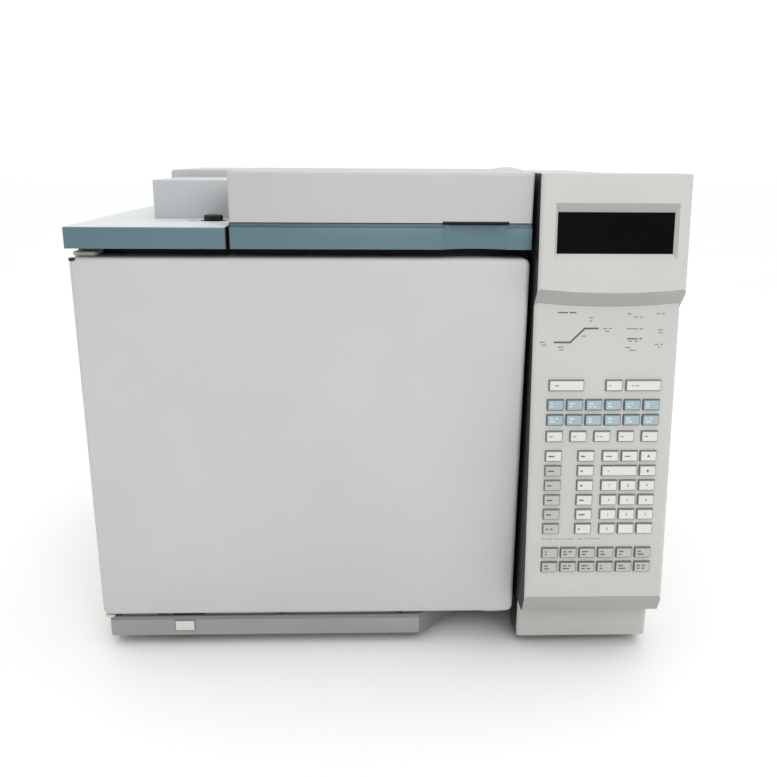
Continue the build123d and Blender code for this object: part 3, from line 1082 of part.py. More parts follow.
def tower_base():
    """Foot of the tower: front and sides, open at the back and below."""
    top = TOWER_BASE_TOP - 1.0
    front = DOOR_FACE - 3.0
    base = block(TOWER_LEFT + 1, RIGHT, front, TOWER_BACK, FOOT_HEIGHT, top)
    base = fillet(base.edges().filter_by(Axis.Z).sort_by(Axis.Y)[:2], 5)
    return base - block(TOWER_LEFT + 1 + TOWER_WALL, RIGHT - TOWER_WALL, front + TOWER_WALL, TOWER_BACK + 1,
                        FOOT_HEIGHT - 1, top - TOWER_WALL)


def port_cap():
    """Low domed plug in the tower cover's top."""
    rise = 5.5
    radius = (CAP_RADIUS ** 2 + rise ** 2) / (2 * rise)
    ball = Pos(CAP_X, CAP_Y, TOWER_COVER_TOP + rise - radius) * Sphere(radius)
    return ball & rod_z(CAP_X, CAP_Y, TOWER_COVER_TOP, TOWER_COVER_TOP + rise + 1, CAP_RADIUS + 1)


# ---- Electronics -----------------------------------------------------------------------------------------------
def main_board():
    """Logic board on standoffs from the bay wall, with its larger parts."""
    gap, thick = 8.0, 1.6
    x0 = TOWER_LEFT + gap
    y0, y1 = FRAME_FRONT + 56, REAR_IN - 50.5
    z0, z1 = FLOOR_TOP + 32.2, SHELL_TOP - 15.2
    mid_y, mid_z = (y0 + y1) / 2, (z0 + z1) / 2
    board = block(x0, x0 + thick, y0, y1, z0, z1)
    for y in (y0 + 10, y1 - 10):
        for z in (z0 + 10, z1 - 10):
            board += rod_x(TOWER_LEFT, x0, y, z, 4)
    chips = ((-90, 95, 50, 50, 4), (10, 85, 34, 60, 3), (30, -35, 80, 24, 14), (-100, -55, 30, 30, 3),
             (90, 65, 24, 90, 10))
    for dy, dz, wide, high, thick_chip in chips:
        y, z = mid_y + dy, mid_z + dz
        board += block(x0 + thick, x0 + thick + thick_chip, y - wide / 2, y + wide / 2, z - high / 2, z + high / 2)
    return board


def power_supply():
    """Transformer and supply frame on the floor of the bay."""
    x0, x1 = TOWER_LEFT + 26, RIGHT - SHEET - 8
    front = REAR_IN - 170.5
    frame = block(x0, x1, front, front + 130, FLOOR_TOP, FLOOR_TOP + 4)
    core = block(x0 + 10, x1 - 10, front + 15, front + 75, FLOOR_TOP + 4, FLOOR_TOP + 64)
    winding = round_block(x0 + 24, x1 - 24, front + 6, front + 84, FLOOR_TOP + 14, FLOOR_TOP + 54, 10)
    rectifier = block(x0 + 12, x1 - 12, front + 90, front + 122, FLOOR_TOP + 4, FLOOR_TOP + 44)
    return frame + core + winding + rectifier


def power_inlet():
    """Mains inlet in the rear panel, with its three blades."""
    body = block(PORT_X - 13.5, PORT_X + 13.5, REAR_IN - 20, REAR_FACE, PORT_Z - 11.5, PORT_Z + 11.5)
    body += block(PORT_X - 25, PORT_X + 25, REAR_FACE, REAR_FACE + 2, PORT_Z - 15, PORT_Z + 15)
    body -= block(PORT_X - 12, PORT_X + 12, REAR_IN - 14, REAR_FACE + 3, PORT_Z - 8, PORT_Z + 8)
    for dx, dz in ((-7, -2), (7, -2), (0, 2)):
        body += block(PORT_X + dx - 1, PORT_X + dx + 1, REAR_IN - 14, REAR_FACE, PORT_Z + dz - 2, PORT_Z + dz + 2)
    return body


def signal_socket(z):
    """One signal socket in the rear panel."""
    body = block(CONNECTOR_X - 17, CONNECTOR_X + 17, REAR_IN - 8, REAR_FACE + 5, z - 4.5, z + 4.5)
    body += block(CONNECTOR_X - 26, CONNECTOR_X - 17, REAR_FACE, REAR_FACE + 1, z - 6, z + 6)
    return body + block(CONNECTOR_X + 17, CONNECTOR_X + 26, REAR_FACE, REAR_FACE + 1, z - 6, z + 6)


def rear_sockets():
    return [power_inlet()] + [signal_socket(CONNECTOR_Z + i * CONNECTOR_PITCH) for i in range(3)]


def panel_screws():
    """Pan-head screws round the rear panel."""
    screws = []
    for x in (LEFT + 14, CAVITY_LEFT + 111, CAVITY_RIGHT - 29, TOWER_LEFT + 8, RIGHT - 14):
        for z in (FLOOR_TOP + 10, CAVITY_TOP + 1):
            head = rod_y(x, REAR_FACE, REAR_FACE + 2, z, 3.5)
            screws.append(chamfer(head.edges().sort_by(Axis.Y)[-1], 0.8))
    return screws


# ---- Write every node ----------------------------------------------------------------------------------------------
NODES = {
    "feet": feet, "base_rails": base_rails, "floor_pan": floor_pan, "left_side_panel": left_side_panel,
    "tower_side_cover": tower_side_cover, "bay_wall": bay_wall, "rear_panel": rear_panel,
    "front_frame": front_frame, "top_plate": top_plate, "front_base_strip": front_base_strip,
    "power_button": power_button, "power_switch": power_switch,
    "oven_liner": lambda: oven_wall(0, LINER), "oven_insulation": oven_insulation,
    "oven_shell": lambda: oven_wall(LINER + INSULATION, SHELL), "fan_shroud": fan_shroud,
    "heater_coil": heater_coil, "fan_wheel": fan_wheel, "fan_shaft": fan_shaft, "fan_motor": fan_motor,
    "column_cage": column_cage, "column_coil": column_coil,
    "exhaust_duct": exhaust_duct, "vent_flap": vent_flap, "door_skin": door_skin, "door_liner": door_liner,
    "door_insulation": door_insulation, "door_seal": door_seal, "door_hinge_brackets": door_hinge_brackets,
    "latch_pin": latch_pin, "latch_lever": latch_lever,
    "inlet_deck": inlet_deck, "front_fascia": front_fascia, "detector_lid": detector_lid,
    "rear_cover": rear_cover, "inlet_cover": inlet_cover,
    "inlet_bodies": inlet_bodies, "septum_nuts": septum_nuts, "detectors": detectors,
    "gas_modules": gas_modules, "gas_fittings": gas_fittings, "tower_housing": tower_housing,
    "tower_base": tower_base, "display_window": display_window, "display_module": display_module,
    "keypad_board": keypad_board, "main_board": main_board, "power_supply": power_supply,
    "rear_sockets": rear_sockets, "panel_screws": panel_screws,
}


def write(name, made):
    """Saves one node; a list of solids becomes one compound."""
    if isinstance(made, list):
        made = Compound(children=made)
    made.label = name
    export_step(made, f"parts/{name}.step")


os.makedirs("parts", exist_ok=True)
for node, make in NODES.items():
    write(node, make())
for node, keys in key_groups().items():
    write(node, [key_cap(*key) for key in keys])
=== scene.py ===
# %% [markdown]
# # A bench gas chromatograph
# The construction comes ready made: every sheet, moulding, hinge and key is a solid at its real size.
# This lesson gives those solids their finish. It builds a handful of shader groups (moulded grain,
# rubbed edges, brushed metal, settled dust), uses them in one material for each real finish, rounds
# the edges with modifiers, and then models the small things that carry the eye: printed key legends,
# the status line on the keypad, the wound column, socket pins, and black crosses of painted shade for the
# screw recesses. Several materials and pieces also carry painted shade in gaps, slots and undersides.

# %% Load the construction
import json
import random
from math import atan2, cos, degrees, pi, radians, sin

import bmesh
import bpy
from mathutils import Matrix, Vector


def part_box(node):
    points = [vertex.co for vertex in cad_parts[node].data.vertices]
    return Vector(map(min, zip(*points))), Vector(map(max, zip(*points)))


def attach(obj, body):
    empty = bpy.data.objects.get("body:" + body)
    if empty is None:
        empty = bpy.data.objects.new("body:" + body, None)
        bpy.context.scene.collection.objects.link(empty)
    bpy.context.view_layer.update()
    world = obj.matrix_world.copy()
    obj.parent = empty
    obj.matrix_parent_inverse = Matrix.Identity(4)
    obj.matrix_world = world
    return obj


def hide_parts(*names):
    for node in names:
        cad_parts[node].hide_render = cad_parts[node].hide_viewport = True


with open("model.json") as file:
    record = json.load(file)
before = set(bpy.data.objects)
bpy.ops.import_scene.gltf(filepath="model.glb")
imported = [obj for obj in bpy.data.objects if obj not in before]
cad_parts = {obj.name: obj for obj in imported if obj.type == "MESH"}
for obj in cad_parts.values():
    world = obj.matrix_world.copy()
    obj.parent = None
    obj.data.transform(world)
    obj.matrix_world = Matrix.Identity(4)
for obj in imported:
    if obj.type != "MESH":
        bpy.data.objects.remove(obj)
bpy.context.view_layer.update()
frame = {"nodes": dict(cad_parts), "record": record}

NODES = frame["nodes"]


def link_object(name, data):
    """An object that carries some data, linked to the scene."""
    obj = bpy.data.objects.new(name, data)
    bpy.context.scene.collection.objects.link(obj)
    return obj


# %% [markdown]
# ## The camera
# The instrument is seen from the front, a little to the left of its middle and from above the height
# of its top, with a lens just longer than the sensor is wide. The camera's three axes are written out
# from its pitch, its turn to the side and its slight roll, which is clearer than chasing Euler orders.

# %% Camera
CAMERA_PLACE = Vector((-0.0109, -0.9847, 0.5070))
CAMERA_DOWN = radians(15.84)
CAMERA_ASIDE = radians(1.67)
CAMERA_ROLL = radians(0.369)
LENS = 37.9
SENSOR_WIDTH = 36.0


def camera_matrix():
    """World matrix of a camera with the pitch, turn and roll above."""
    reach = cos(CAMERA_DOWN)
    ahead = Vector((sin(CAMERA_ASIDE) * reach, cos(CAMERA_ASIDE) * reach, -sin(CAMERA_DOWN)))
    level = Vector((cos(CAMERA_ASIDE), -sin(CAMERA_ASIDE), 0))
    above = level.cross(ahead)
    right = level * cos(CAMERA_ROLL) + above * sin(CAMERA_ROLL)
    up = above * cos(CAMERA_ROLL) - level * sin(CAMERA_ROLL)
    turn = Matrix((right, up, -ahead)).transposed().to_4x4()
    return Matrix.Translation(CAMERA_PLACE) @ turn


camera_data = bpy.data.cameras.new("camera")
camera_data.lens = LENS
camera_data.sensor_width = SENSOR_WIDTH
camera = link_object("camera", camera_data)
camera.matrix_world = camera_matrix()
bpy.context.scene.camera = camera
print("camera at", [round(v, 3) for v in CAMERA_PLACE])

# %% [markdown]
# ## Shader groups
# Mouldings, paint and metal share a few effects. Each one is a node group with named inputs, built
# once. A group only puts out numbers and colours, so that the shader itself stays in the material.
# All of them read Object coordinates, which here are plain metres, so a scale of 1000 is a feature
# about a millimetre across, on every piece alike.

# %% Helpers for node trees
def new_group(name, inputs, outputs):
    """An empty shader group with float inputs {name: default} and float outputs of the given names."""
    group = bpy.data.node_groups.new(name, "ShaderNodeTree")
    for label, value in inputs.items():
        socket = group.interface.new_socket(name=label, in_out="INPUT", socket_type="NodeSocketFloat")
        socket.default_value = value
    for label in outputs:
        group.interface.new_socket(name=label, in_out="OUTPUT", socket_type="NodeSocketFloat")
    return group, group.nodes.new("NodeGroupInput"), group.nodes.new("NodeGroupOutput")


def feed(tree, socket, value):
    """Gives a socket its value: another socket by a link, a number or a colour directly."""
    if isinstance(value, bpy.types.NodeSocket):
        tree.links.new(value, socket)
    else:
        socket.default_value = value


def math_node(tree, operation, first, second, clamp=False):
    """A Math node whose inputs are sockets or numbers; returns its output."""
    node = tree.nodes.new("ShaderNodeMath")
    node.operation = operation
    node.use_clamp = clamp
    feed(tree, node.inputs[0], first)
    feed(tree, node.inputs[1], second)
    return node.outputs[0]


def vector_math(tree, operation, first, second):
    """A Vector Math node on two sockets; returns its outputs."""
    node = tree.nodes.new("ShaderNodeVectorMath")
    node.operation = operation
    tree.links.new(first, node.inputs[0])
    tree.links.new(second, node.inputs[1])
    return node.outputs


def noise(tree, vector, scale, detail=2.0, roughness=0.5):
    """A noise texture's factor; scale is a number or a socket."""
    node = tree.nodes.new("ShaderNodeTexNoise")
    values = {"Vector": vector, "Scale": scale, "Detail": detail, "Roughness": roughness}
    for label, value in values.items():
        feed(tree, node.inputs[label], value)
    return node.outputs["Fac"]


def object_coordinates(tree):
    """Places on a piece in its own axes, in metres."""
    return tree.nodes.new("ShaderNodeTexCoord").outputs["Object"]


def face_normal(tree, kind="True Normal"):
    """The flat normal of each face, or with kind "Normal" the smoothed one."""
    return tree.nodes.new("ShaderNodeNewGeometry").outputs[kind]


def parts_of(tree, vector):
    """The X, Y and Z sockets of a vector."""
    node = tree.nodes.new("ShaderNodeSeparateXYZ")
    tree.links.new(vector, node.inputs[0])
    return node.outputs


print("helpers ready")

# %% Group: the fine grain of a moulded or painted skin
def grain_group():
    """Fine spark-eroded grain, and a slow drift of tone over the whole piece."""
    tree, given, out = new_group("moulded grain", {"Grain scale": 1400.0, "Drift scale": 7.0},
                                 ("Height", "Speckle", "Drift"))
    place = object_coordinates(tree)
    fine = noise(tree, place, given.outputs["Grain scale"], detail=3.0, roughness=0.6)
    broad = noise(tree, place, given.outputs["Drift scale"])
    for label, value in (("Height", fine), ("Speckle", fine), ("Drift", broad)):
        tree.links.new(value, out.inputs[label])
    return tree


GRAIN = grain_group()
print("group:", GRAIN.name)

# %% Group: edges rubbed by hands and cloths
RUB_SCALE = 60.0  # patches of rub, about 17 mm across
RUB_GAIN = 4.0


def edge_group():
    """A mask that is 1 along outer edges, broken up so that the rub is uneven."""
    tree, given, out = new_group("rubbed edges", {"Radius": 0.0012, "Amount": 1.0}, ("Mask",))
    rounded = tree.nodes.new("ShaderNodeBevel")
    rounded.samples = 6
    tree.links.new(given.outputs["Radius"], rounded.inputs["Radius"])
    same = vector_math(tree, "DOT_PRODUCT", rounded.outputs["Normal"], face_normal(tree, "Normal"))
    turn = math_node(tree, "SUBTRACT", 1.0, same["Value"])
    patches = noise(tree, object_coordinates(tree), RUB_SCALE, detail=4.0, roughness=0.6)
    uneven = math_node(tree, "MULTIPLY", turn, math_node(tree, "MULTIPLY", patches, RUB_GAIN))
    mask = math_node(tree, "MULTIPLY", uneven, given.outputs["Amount"], clamp=True)
    tree.links.new(mask, out.inputs["Mask"])
    return tree


EDGES = edge_group()
print("group:", EDGES.name)

# %% Group: dust that settles on what faces up
DUST_SCALE = 35.0  # patches of dust, about 29 mm across


def dust_group():
    """A mask that is strongest on upward faces and patchy at the scale of a fingertip."""
    tree, given, out = new_group("settled dust", {"Amount": 0.3}, ("Mask",))
    rise = parts_of(tree, face_normal(tree, "Normal"))["Z"]
    facing_up = math_node(tree, "MULTIPLY", rise, 1.0, clamp=True)
    patches = noise(tree, object_coordinates(tree), DUST_SCALE, detail=5.0, roughness=0.65)
    mask = math_node(tree, "MULTIPLY", math_node(tree, "MULTIPLY", facing_up, patches),
                     given.outputs["Amount"], clamp=True)
    tree.links.new(mask, out.inputs["Mask"])
    return tree


DUST = dust_group()
print("group:", DUST.name)

# %% Group: the lines that brushing or rolling leaves in sheet metal
def brushed_group():
    """Long thin streaks along one axis: the inputs are the scales across X, Y and Z."""
    across = {"Across X": 30.0, "Across Y": 1800.0, "Across Z": 1800.0}
    tree, given, out = new_group("brushed lines", across, ("Height", "Streak"))
    stretch = tree.nodes.new("ShaderNodeCombineXYZ")
    for socket, label in zip(stretch.inputs, across):
        tree.links.new(given.outputs[label], socket)
    place = vector_math(tree, "MULTIPLY", object_coordinates(tree), stretch.outputs[0])["Vector"]
    streak = noise(tree, place, 1.0, roughness=0.6)
    for label in ("Height", "Streak"):
        tree.links.new(streak, out.inputs[label])
    return tree


BRUSHED = brushed_group()
print("group:", BRUSHED.name)

# %% Group: where on a piece a colour lies
def region_group():
    """A mask that is 1 inside a box between low and high limits, in metres, and 0 outside it."""
    limits = {"Low X": -1.0, "High X": 1.0, "Low Z": -1.0, "High Z": 1.0}
    tree, given, out = new_group("inside region", limits, ("Mask",))
    place = parts_of(tree, object_coordinates(tree))
    mask = 1.0
    for axis in ("X", "Z"):
        above = math_node(tree, "GREATER_THAN", place[axis], given.outputs["Low " + axis])
        below = math_node(tree, "LESS_THAN", place[axis], given.outputs["High " + axis])
        mask = math_node(tree, "MULTIPLY", mask, math_node(tree, "MULTIPLY", above, below))
    tree.links.new(mask, out.inputs["Mask"])
    return tree


REGION = region_group()
print("group:", REGION.name)

# %% [markdown]
# ## Materials
# Every material starts from the same short recipe: a Principled shader, a colour that drifts a little
# between two close tones, a roughness that follows the grain, and a bump from the grain's height.
# What differs is how much of each, and which groups are added: rubbed edges on mouldings, brushing on
# sheet metal, dust on top faces.

# %% The common recipe
NOISE_RANGE = (0.3, 0.7)  # where a noise texture's values mostly lie


def linear(red, green, blue):
    """A colour measured on a screen, 0 to 255, as the linear values that a shader takes."""
    def channel(value):
        value = value / 255
        return value / 12.92 if value <= 0.04045 else ((value + 0.055) / 1.055) ** 2.4
    return channel(red), channel(green), channel(blue), 1.0


def shade(color, factor):
    """A colour made darker or lighter by a factor."""
    return tuple(c * factor for c in color[:3]) + (1.0,)


def place_group(material, group, **values):
    """Puts a group in a material's tree, sets its inputs and returns its outputs."""
    node = material.node_tree.nodes.new("ShaderNodeGroup")
    node.node_tree = group
    for label, value in values.items():
        node.inputs[label.replace("_", " ")].default_value = value
    return node.outputs


def mix_color(tree, factor, first, second):
    """A colour Mix node; first and second are colours or sockets."""
    node = tree.nodes.new("ShaderNodeMix")
    node.data_type = "RGBA"
    tree.links.new(factor, node.inputs["Factor"])
    feed(tree, node.inputs[6], first)
    feed(tree, node.inputs[7], second)
    return node.outputs[2]


def map_range(tree, value, source, target):
    """Maps a socket's value from one (low, high) range to another."""
    node = tree.nodes.new("ShaderNodeMapRange")
    for label, limit in zip(("From Min", "From Max", "To Min", "To Max"), source + target):
        node.inputs[label].default_value = limit
    tree.links.new(value, node.inputs["Value"])
    return node.outputs[0]


def around(tree, value, low, high):
    """A number that follows a noise value between low and high."""
    return map_range(tree, value, NOISE_RANGE, (low, high))


def tones(tree, value, first, second):
    """A colour that follows a noise value between two tones."""
    return mix_color(tree, around(tree, value, 0.0, 1.0), first, second)


print("recipe ready")

# %% From a colour to a finished material
def new_material(name, **constants):
    """A material with constants set on its Principled shader; returns it and its node tree."""
    material = bpy.data.materials.new(name)
    material.use_nodes = True
    shader = material.node_tree.nodes["Principled BSDF"]
    for label, value in constants.items():
        shader.inputs[label.replace("_", " ")].default_value = value
    return material, material.node_tree


def worn(material, base, rubbed, wear, dust_tone, dust):
    """Adds rubbed edges and dust to a base colour; returns the colour and the dust's mask."""
    tree = material.node_tree
    base = mix_color(tree, place_group(material, EDGES, Amount=wear)["Mask"], base, rubbed)
    dusty = place_group(material, DUST, Amount=dust)["Mask"]
    return mix_color(tree, dusty, base, dust_tone), dusty


def dress(material, base, roughness, height=None, depth=0.0):
    """Feeds the shader its colour, its roughness and, where there is one, a bump `depth` metres deep."""
    tree = material.node_tree
    shader = tree.nodes["Principled BSDF"]
    feed(tree, shader.inputs["Base Color"], base)
    feed(tree, shader.inputs["Roughness"], roughness)
    if height is not None:
        bump = tree.nodes.new("ShaderNodeBump")
        bump.inputs["Distance"].default_value = depth
        tree.links.new(height, bump.inputs["Height"])
        tree.links.new(bump.outputs["Normal"], shader.inputs["Normal"])
    return material


def uneven(name, first, second, rough, fine, broad, tone="Speckle", depth=0.0, **constants):
    """A finish whose tone follows one of two noises and whose roughness follows the other.

    `rough` is a (low, high) pair, `fine` and `broad` are the noises' scales, and the tone follows the
    fine one unless `tone` says "Drift". The fine one also gives the relief, `depth` metres deep.
    """
    material, tree = new_material(name, **constants)
    texture = place_group(material, GRAIN, Grain_scale=fine, Drift_scale=broad)
    gloss = "Drift" if tone == "Speckle" else "Speckle"
    return dress(material, tones(tree, texture[tone], first, second), around(tree, texture[gloss], *rough),
                 texture["Height"] if depth else None, depth)


print("shader helpers ready")

# %% Mouldings and paint
SKIN_DUST = linear(214, 210, 202)


def skin(name, color, roughness=0.5, grain=1400.0, depth=0.00004, drift=0.03, wear=0.25, dust=0.15):
    """Moulded plastic or powder coat: grain, slow drift, pale rubbed edges and a little dust on top."""
    material, tree = new_material(name)
    texture = place_group(material, GRAIN, Grain_scale=grain)
    base = tones(tree, texture["Drift"], shade(color, 1 - drift), shade(color, 1 + drift))
    base, dusty = worn(material, base, shade(color, 1.22), wear, SKIN_DUST, dust)
    rough = around(tree, texture["Speckle"], roughness - 0.06, roughness + 0.06)
    rough = math_node(tree, "ADD", rough, math_node(tree, "MULTIPLY", dusty, 0.2))
    return dress(material, base, rough, texture["Height"], depth)


door_grey = skin("door grey", linear(198, 198, 197), 0.48)
lid_grey = skin("lid grey", linear(198, 198, 197), 0.48)
cover_grey = skin("inlet cover satin grey", linear(196, 200, 202), 0.42, grain=900.0, depth=0.00002)
panel_coat = skin("panel powder coat", linear(206, 206, 200), 0.55, grain=900.0, depth=0.00006)
bracket_beige = skin("bracket enamel", linear(214, 208, 190), 0.42, grain=1800.0, depth=0.00002, wear=0.4)
enamel_dark = skin("dark enamel", linear(46, 48, 52), 0.42, wear=0.3, dust=0.4)
socket_black = skin("socket black", linear(28, 28, 30), 0.5, wear=0.15)
# painted shade: near black for the wall in the gap beside the door, the socket's bore and the screws'
# recesses
shade_black = skin("painted shade black", linear(20, 20, 22), 0.7, wear=0.02, dust=0.05)
foot_black = skin("foot rubber", linear(34, 34, 34), 0.75, grain=700.0, depth=0.0001, wear=0.1, dust=0.6)
# painted shade for the gaps round the keys
key_gap_shade_grey = skin("painted key gap shade", linear(124, 125, 123), 0.7, wear=0.02, dust=0.05)
nut_black = skin("blackened nut", linear(24, 24, 25), 0.36, wear=0.5, dust=0.1)
print("skins:", len(bpy.data.materials))

# %% [markdown]
# ## Mouldings in two colours, and painted shade
# Some mouldings change colour along a line: the deck has a pale top, and the tower's flank beside the door
# is black. Others carry painted shade in boxes: the dark pull slot that the trim and the lid share, the
# dark ends at the trim's split, the black head of the frame over the door, the base strip's darker upper
# band and return in the door's shadow, and the black top of the foot under the tower's lip. Such a finish
# is a skin with boxes of another colour laid over it. The tower also carries painted shade where its
# faces look down.

# %% A skin with boxes of another colour or of painted shade
UNDERSIDE_SHADE_Z = -0.15  # the normal's Z under which a face counts as looking down and takes painted shade


def base_color(material):
    """The shader's colour input, and the socket that feeds it so far."""
    socket = material.node_tree.nodes["Principled BSDF"].inputs["Base Color"]
    return socket, socket.links[0].from_socket


def repaint(material, base, regions):
    """Lays other colours, some of them painted shade, over a base inside boxes, given as (colour, limits)."""
    for color, limits in regions:
        mask = place_group(material, REGION, **limits)["Mask"]
        base = mix_color(material.node_tree, mask, base, color)
    return base


def two_tone_and_painted_shade(name, color, *regions, down=0.0):
    """A skin with repainted regions, and with painted shade where its faces look down, darker there by a
    share `down`.
    """
    material = skin(name, color, 0.45)
    tree = material.node_tree
    socket, base = base_color(material)
    if down:
        painted_underside_shade = math_node(tree, "LESS_THAN", parts_of(tree, face_normal(tree))["Z"], UNDERSIDE_SHADE_Z)
        base = mix_color(tree, painted_underside_shade, base, shade(color, 1 - down))
    tree.links.new(repaint(material, base, regions), socket)
    return material


print("two-tone and painted shade recipe ready")

# %% Two-tone mouldings and painted shade
BLACK = linear(22, 22, 24)
TEAL = linear(90, 119, 127)
SOCKET_RIM = 0.001  # the locating socket stands this far above the deck
PALE_TOP = 0.0003  # the deck's pale finish starts this far under its top
SPLIT_SHADE = 0.0010  # painted shade: the ends on both sides of the split in the coloured trim are black this far in
# painted shade: across this span the deep pull slot under the lid's edge is painted black
SLOT_SHADE_SPAN = {"Low_X": 0.0610, "High_X": 0.1235}
SLOT_SHADE_REACH = 0.0016  # how far the painted shade of the pull slot reaches into the trim and into the lid
FLANK = 0.0006  # thickness of the black left flank of the tower and of its foot
HEAD_SHADE_DROP = 0.012  # painted shade: the sheet behind the door is black from this far under the door's top, for the gap over it
STRIP_SHADOW_BAND = 0.0060  # height of the base strip's upper band of painted shadow under the door
STRIP_RETURN = 0.0465  # where the base strip's front face ends; the return beyond it carries painted shadow of the door
FOOT_SHADE_DROP = 0.0015  # painted shade: the foot is black this far down under the tower's lip

deck_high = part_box("inlet_deck")[1]
deck_top = deck_high.z - SOCKET_RIM
fascia_low, fascia_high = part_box("front_fascia")
tower_low, tower_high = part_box("tower_housing")
door_low, door_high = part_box("door_skin")
strip_low, strip_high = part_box("front_base_strip")

deck_pale_top_and_split_shade = two_tone_and_painted_shade(
    "deck with pale top and painted split shade", TEAL, (linear(214, 218, 218), {"Low_Z": deck_top - PALE_TOP}),
    (BLACK, {"Low_X": deck_high.x - SPLIT_SHADE}))
fascia_slot_and_split_shade = two_tone_and_painted_shade(
    "fascia with painted shade in slot and split", TEAL, (BLACK, {"High_X": fascia_low.x + SPLIT_SHADE}),
    (BLACK, {"Low_Z": fascia_high.z - SLOT_SHADE_REACH, **SLOT_SHADE_SPAN}))
lid_with_slot_shade = two_tone_and_painted_shade(
    "lid with painted shade of the pull slot", linear(190, 190, 189),
    (BLACK, {"High_Z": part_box("detector_lid")[0].z + SLOT_SHADE_REACH, **SLOT_SHADE_SPAN}))
# painted shade: the tower's faces that look down, under the hood and on its lip, are a third darker
tower_flank_and_underside_shade = two_tone_and_painted_shade(
    "tower with dark flank and painted underside shade", linear(198, 199, 194), (BLACK, {"High_X": tower_low.x + FLANK}), down=0.34)
frame_with_head_shade = two_tone_and_painted_shade(
    "frame with painted shade over the door", linear(168, 168, 166), (BLACK, {"Low_Z": door_high.z - HEAD_SHADE_DROP}))
# painted shadow of the door: a darker upper band, and a darker return at the right end
strip_with_painted_shadow = two_tone_and_painted_shade(
    "base strip with painted door shadow", linear(156, 156, 155),
    (linear(128, 128, 128), {"Low_Z": strip_high.z - STRIP_SHADOW_BAND}),
    (linear(122, 125, 125), {"Low_X": STRIP_RETURN}))
foot_flank_and_painted_shade = two_tone_and_painted_shade(
    "tower foot with painted shade under the lip", linear(192, 193, 189), (BLACK, {"Low_Z": tower_low.z - FOOT_SHADE_DROP}),
    (BLACK, {"High_X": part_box("tower_base")[0].x + FLANK}))
print("two-tone mouldings and painted shade ready")

# %% [markdown]
# ## Keys
# The keys are moulded in three colours. The number pad is the palest, the two lower rows and most of
# the left column are a greyer plastic, and two rows are pale blue-green. One node holds keys of both
# greys, so its material picks the colour by place. The keys' walls carry painted shade, a darker tone of each
# plastic.

# %% Key plastics
KEY_PALE = linear(220, 219, 214)
KEY_GREY = linear(184, 185, 181)
KEY_TEAL = linear(160, 182, 187)
GREY_COLUMN = {"High_X": 0.190, "High_Z": 0.2205}  # left of the second column, under the first row
FACES_FRONT = -0.8  # the normal's Y over which a face is a wall of the key and takes painted shade


def key_plastic_with_wall_shade(name, color, *regions):
    """A key's skin with repainted regions, and painted shade on its walls."""
    material = skin(name, color, 0.38, grain=2200.0, depth=0.00001, drift=0.02, wear=0.5, dust=0.1)
    tree = material.node_tree
    socket, base = base_color(material)
    # painted shade: the keys' walls are about a third as bright as their faces
    painted_wall_shade = math_node(tree, "GREATER_THAN", parts_of(tree, face_normal(tree))["Y"], FACES_FRONT)
    tree.links.new(mix_color(tree, painted_wall_shade, repaint(material, base, regions), shade(color, 0.35)), socket)
    return material


key_pale = key_plastic_with_wall_shade("key pale grey", KEY_PALE)
key_grey = key_plastic_with_wall_shade("key mid grey", KEY_GREY)
key_teal = key_plastic_with_wall_shade("key blue-green", KEY_TEAL)
key_two_greys = key_plastic_with_wall_shade("key two greys", KEY_PALE, (KEY_GREY, GREY_COLUMN))
print("key plastics ready")

# %% [markdown]
# ## Metals
# Sheet and bar are not mirror smooth: rolling and brushing leave lines that widen the highlights one
# way. Metallic stays at 1, the lines tilt the surface by a bump and vary the roughness.

# %% Sheet, bar and cast metal
METAL_DUST = linear(150, 146, 140)
ROLLED = (400.0, 400.0, 400.0)


def metal(name, color, roughness, across, depth=0.00002, wear=0.2, dust=0.1):
    """Brushed or rolled metal; `across` gives the streaks' scale along X, Y and Z."""
    material, tree = new_material(name, Metallic=1.0)
    lines = place_group(material, BRUSHED, Across_X=across[0], Across_Y=across[1], Across_Z=across[2])
    texture = place_group(material, GRAIN, Grain_scale=500.0)
    base = tones(tree, texture["Drift"], shade(color, 0.93), color)
    base, dusty = worn(material, base, shade(color, 1.15), wear, METAL_DUST, dust)
    rough = around(tree, lines["Streak"], roughness - 0.07, roughness + 0.1)
    return dress(material, base, rough, lines["Height"], depth)


zinc_sheet = metal("zinc sheet", linear(188, 190, 192), 0.38, ROLLED)
stainless = metal("oven stainless", linear(190, 186, 178), 0.3, (1600.0, 1600.0, 25.0))
turned_steel = metal("turned steel", linear(186, 186, 184), 0.28, (300.0, 300.0, 3000.0))
ground_bar = metal("ground bar", linear(200, 200, 202), 0.2, (2500.0, 40.0, 2500.0), depth=0.00001)
cast_gas_block = metal("gas module aluminium", linear(180, 182, 184), 0.42, ROLLED)
brass = metal("turned brass", linear(206, 170, 104), 0.3, (300.0, 2600.0, 300.0))
heater_sheath = metal("heater sheath", linear(84, 76, 72), 0.5, ROLLED, wear=0.4)
print("materials:", len(bpy.data.materials))

# %% [markdown]
# ## Wool, wound column, board and glass
# The last finishes are each used once or twice. Mineral wool is matt and fibrous. The column is fine
# capillary with a polymer coat, laid turn by turn, so its highlights break at every turn. The circuit
# boards carry tracks under green lacquer, and the display window is nearly black glass.

# %% Mineral wool and rope
WOOL = linear(206, 196, 160)


def rope(name, color, pitch=0.004):
    """Braided seal: slanting strands along the frame's edges."""
    material, tree = new_material(name)
    wave = tree.nodes.new("ShaderNodeTexWave")
    wave.bands_direction = "DIAGONAL"
    wave.inputs["Scale"].default_value = 0.2 / pitch
    wave.inputs["Distortion"].default_value = 1.5
    tree.links.new(object_coordinates(tree), wave.inputs["Vector"])
    strands = wave.outputs["Fac"]
    return dress(material, mix_color(tree, strands, shade(color, 0.78), color), 0.9, strands, 0.0008)


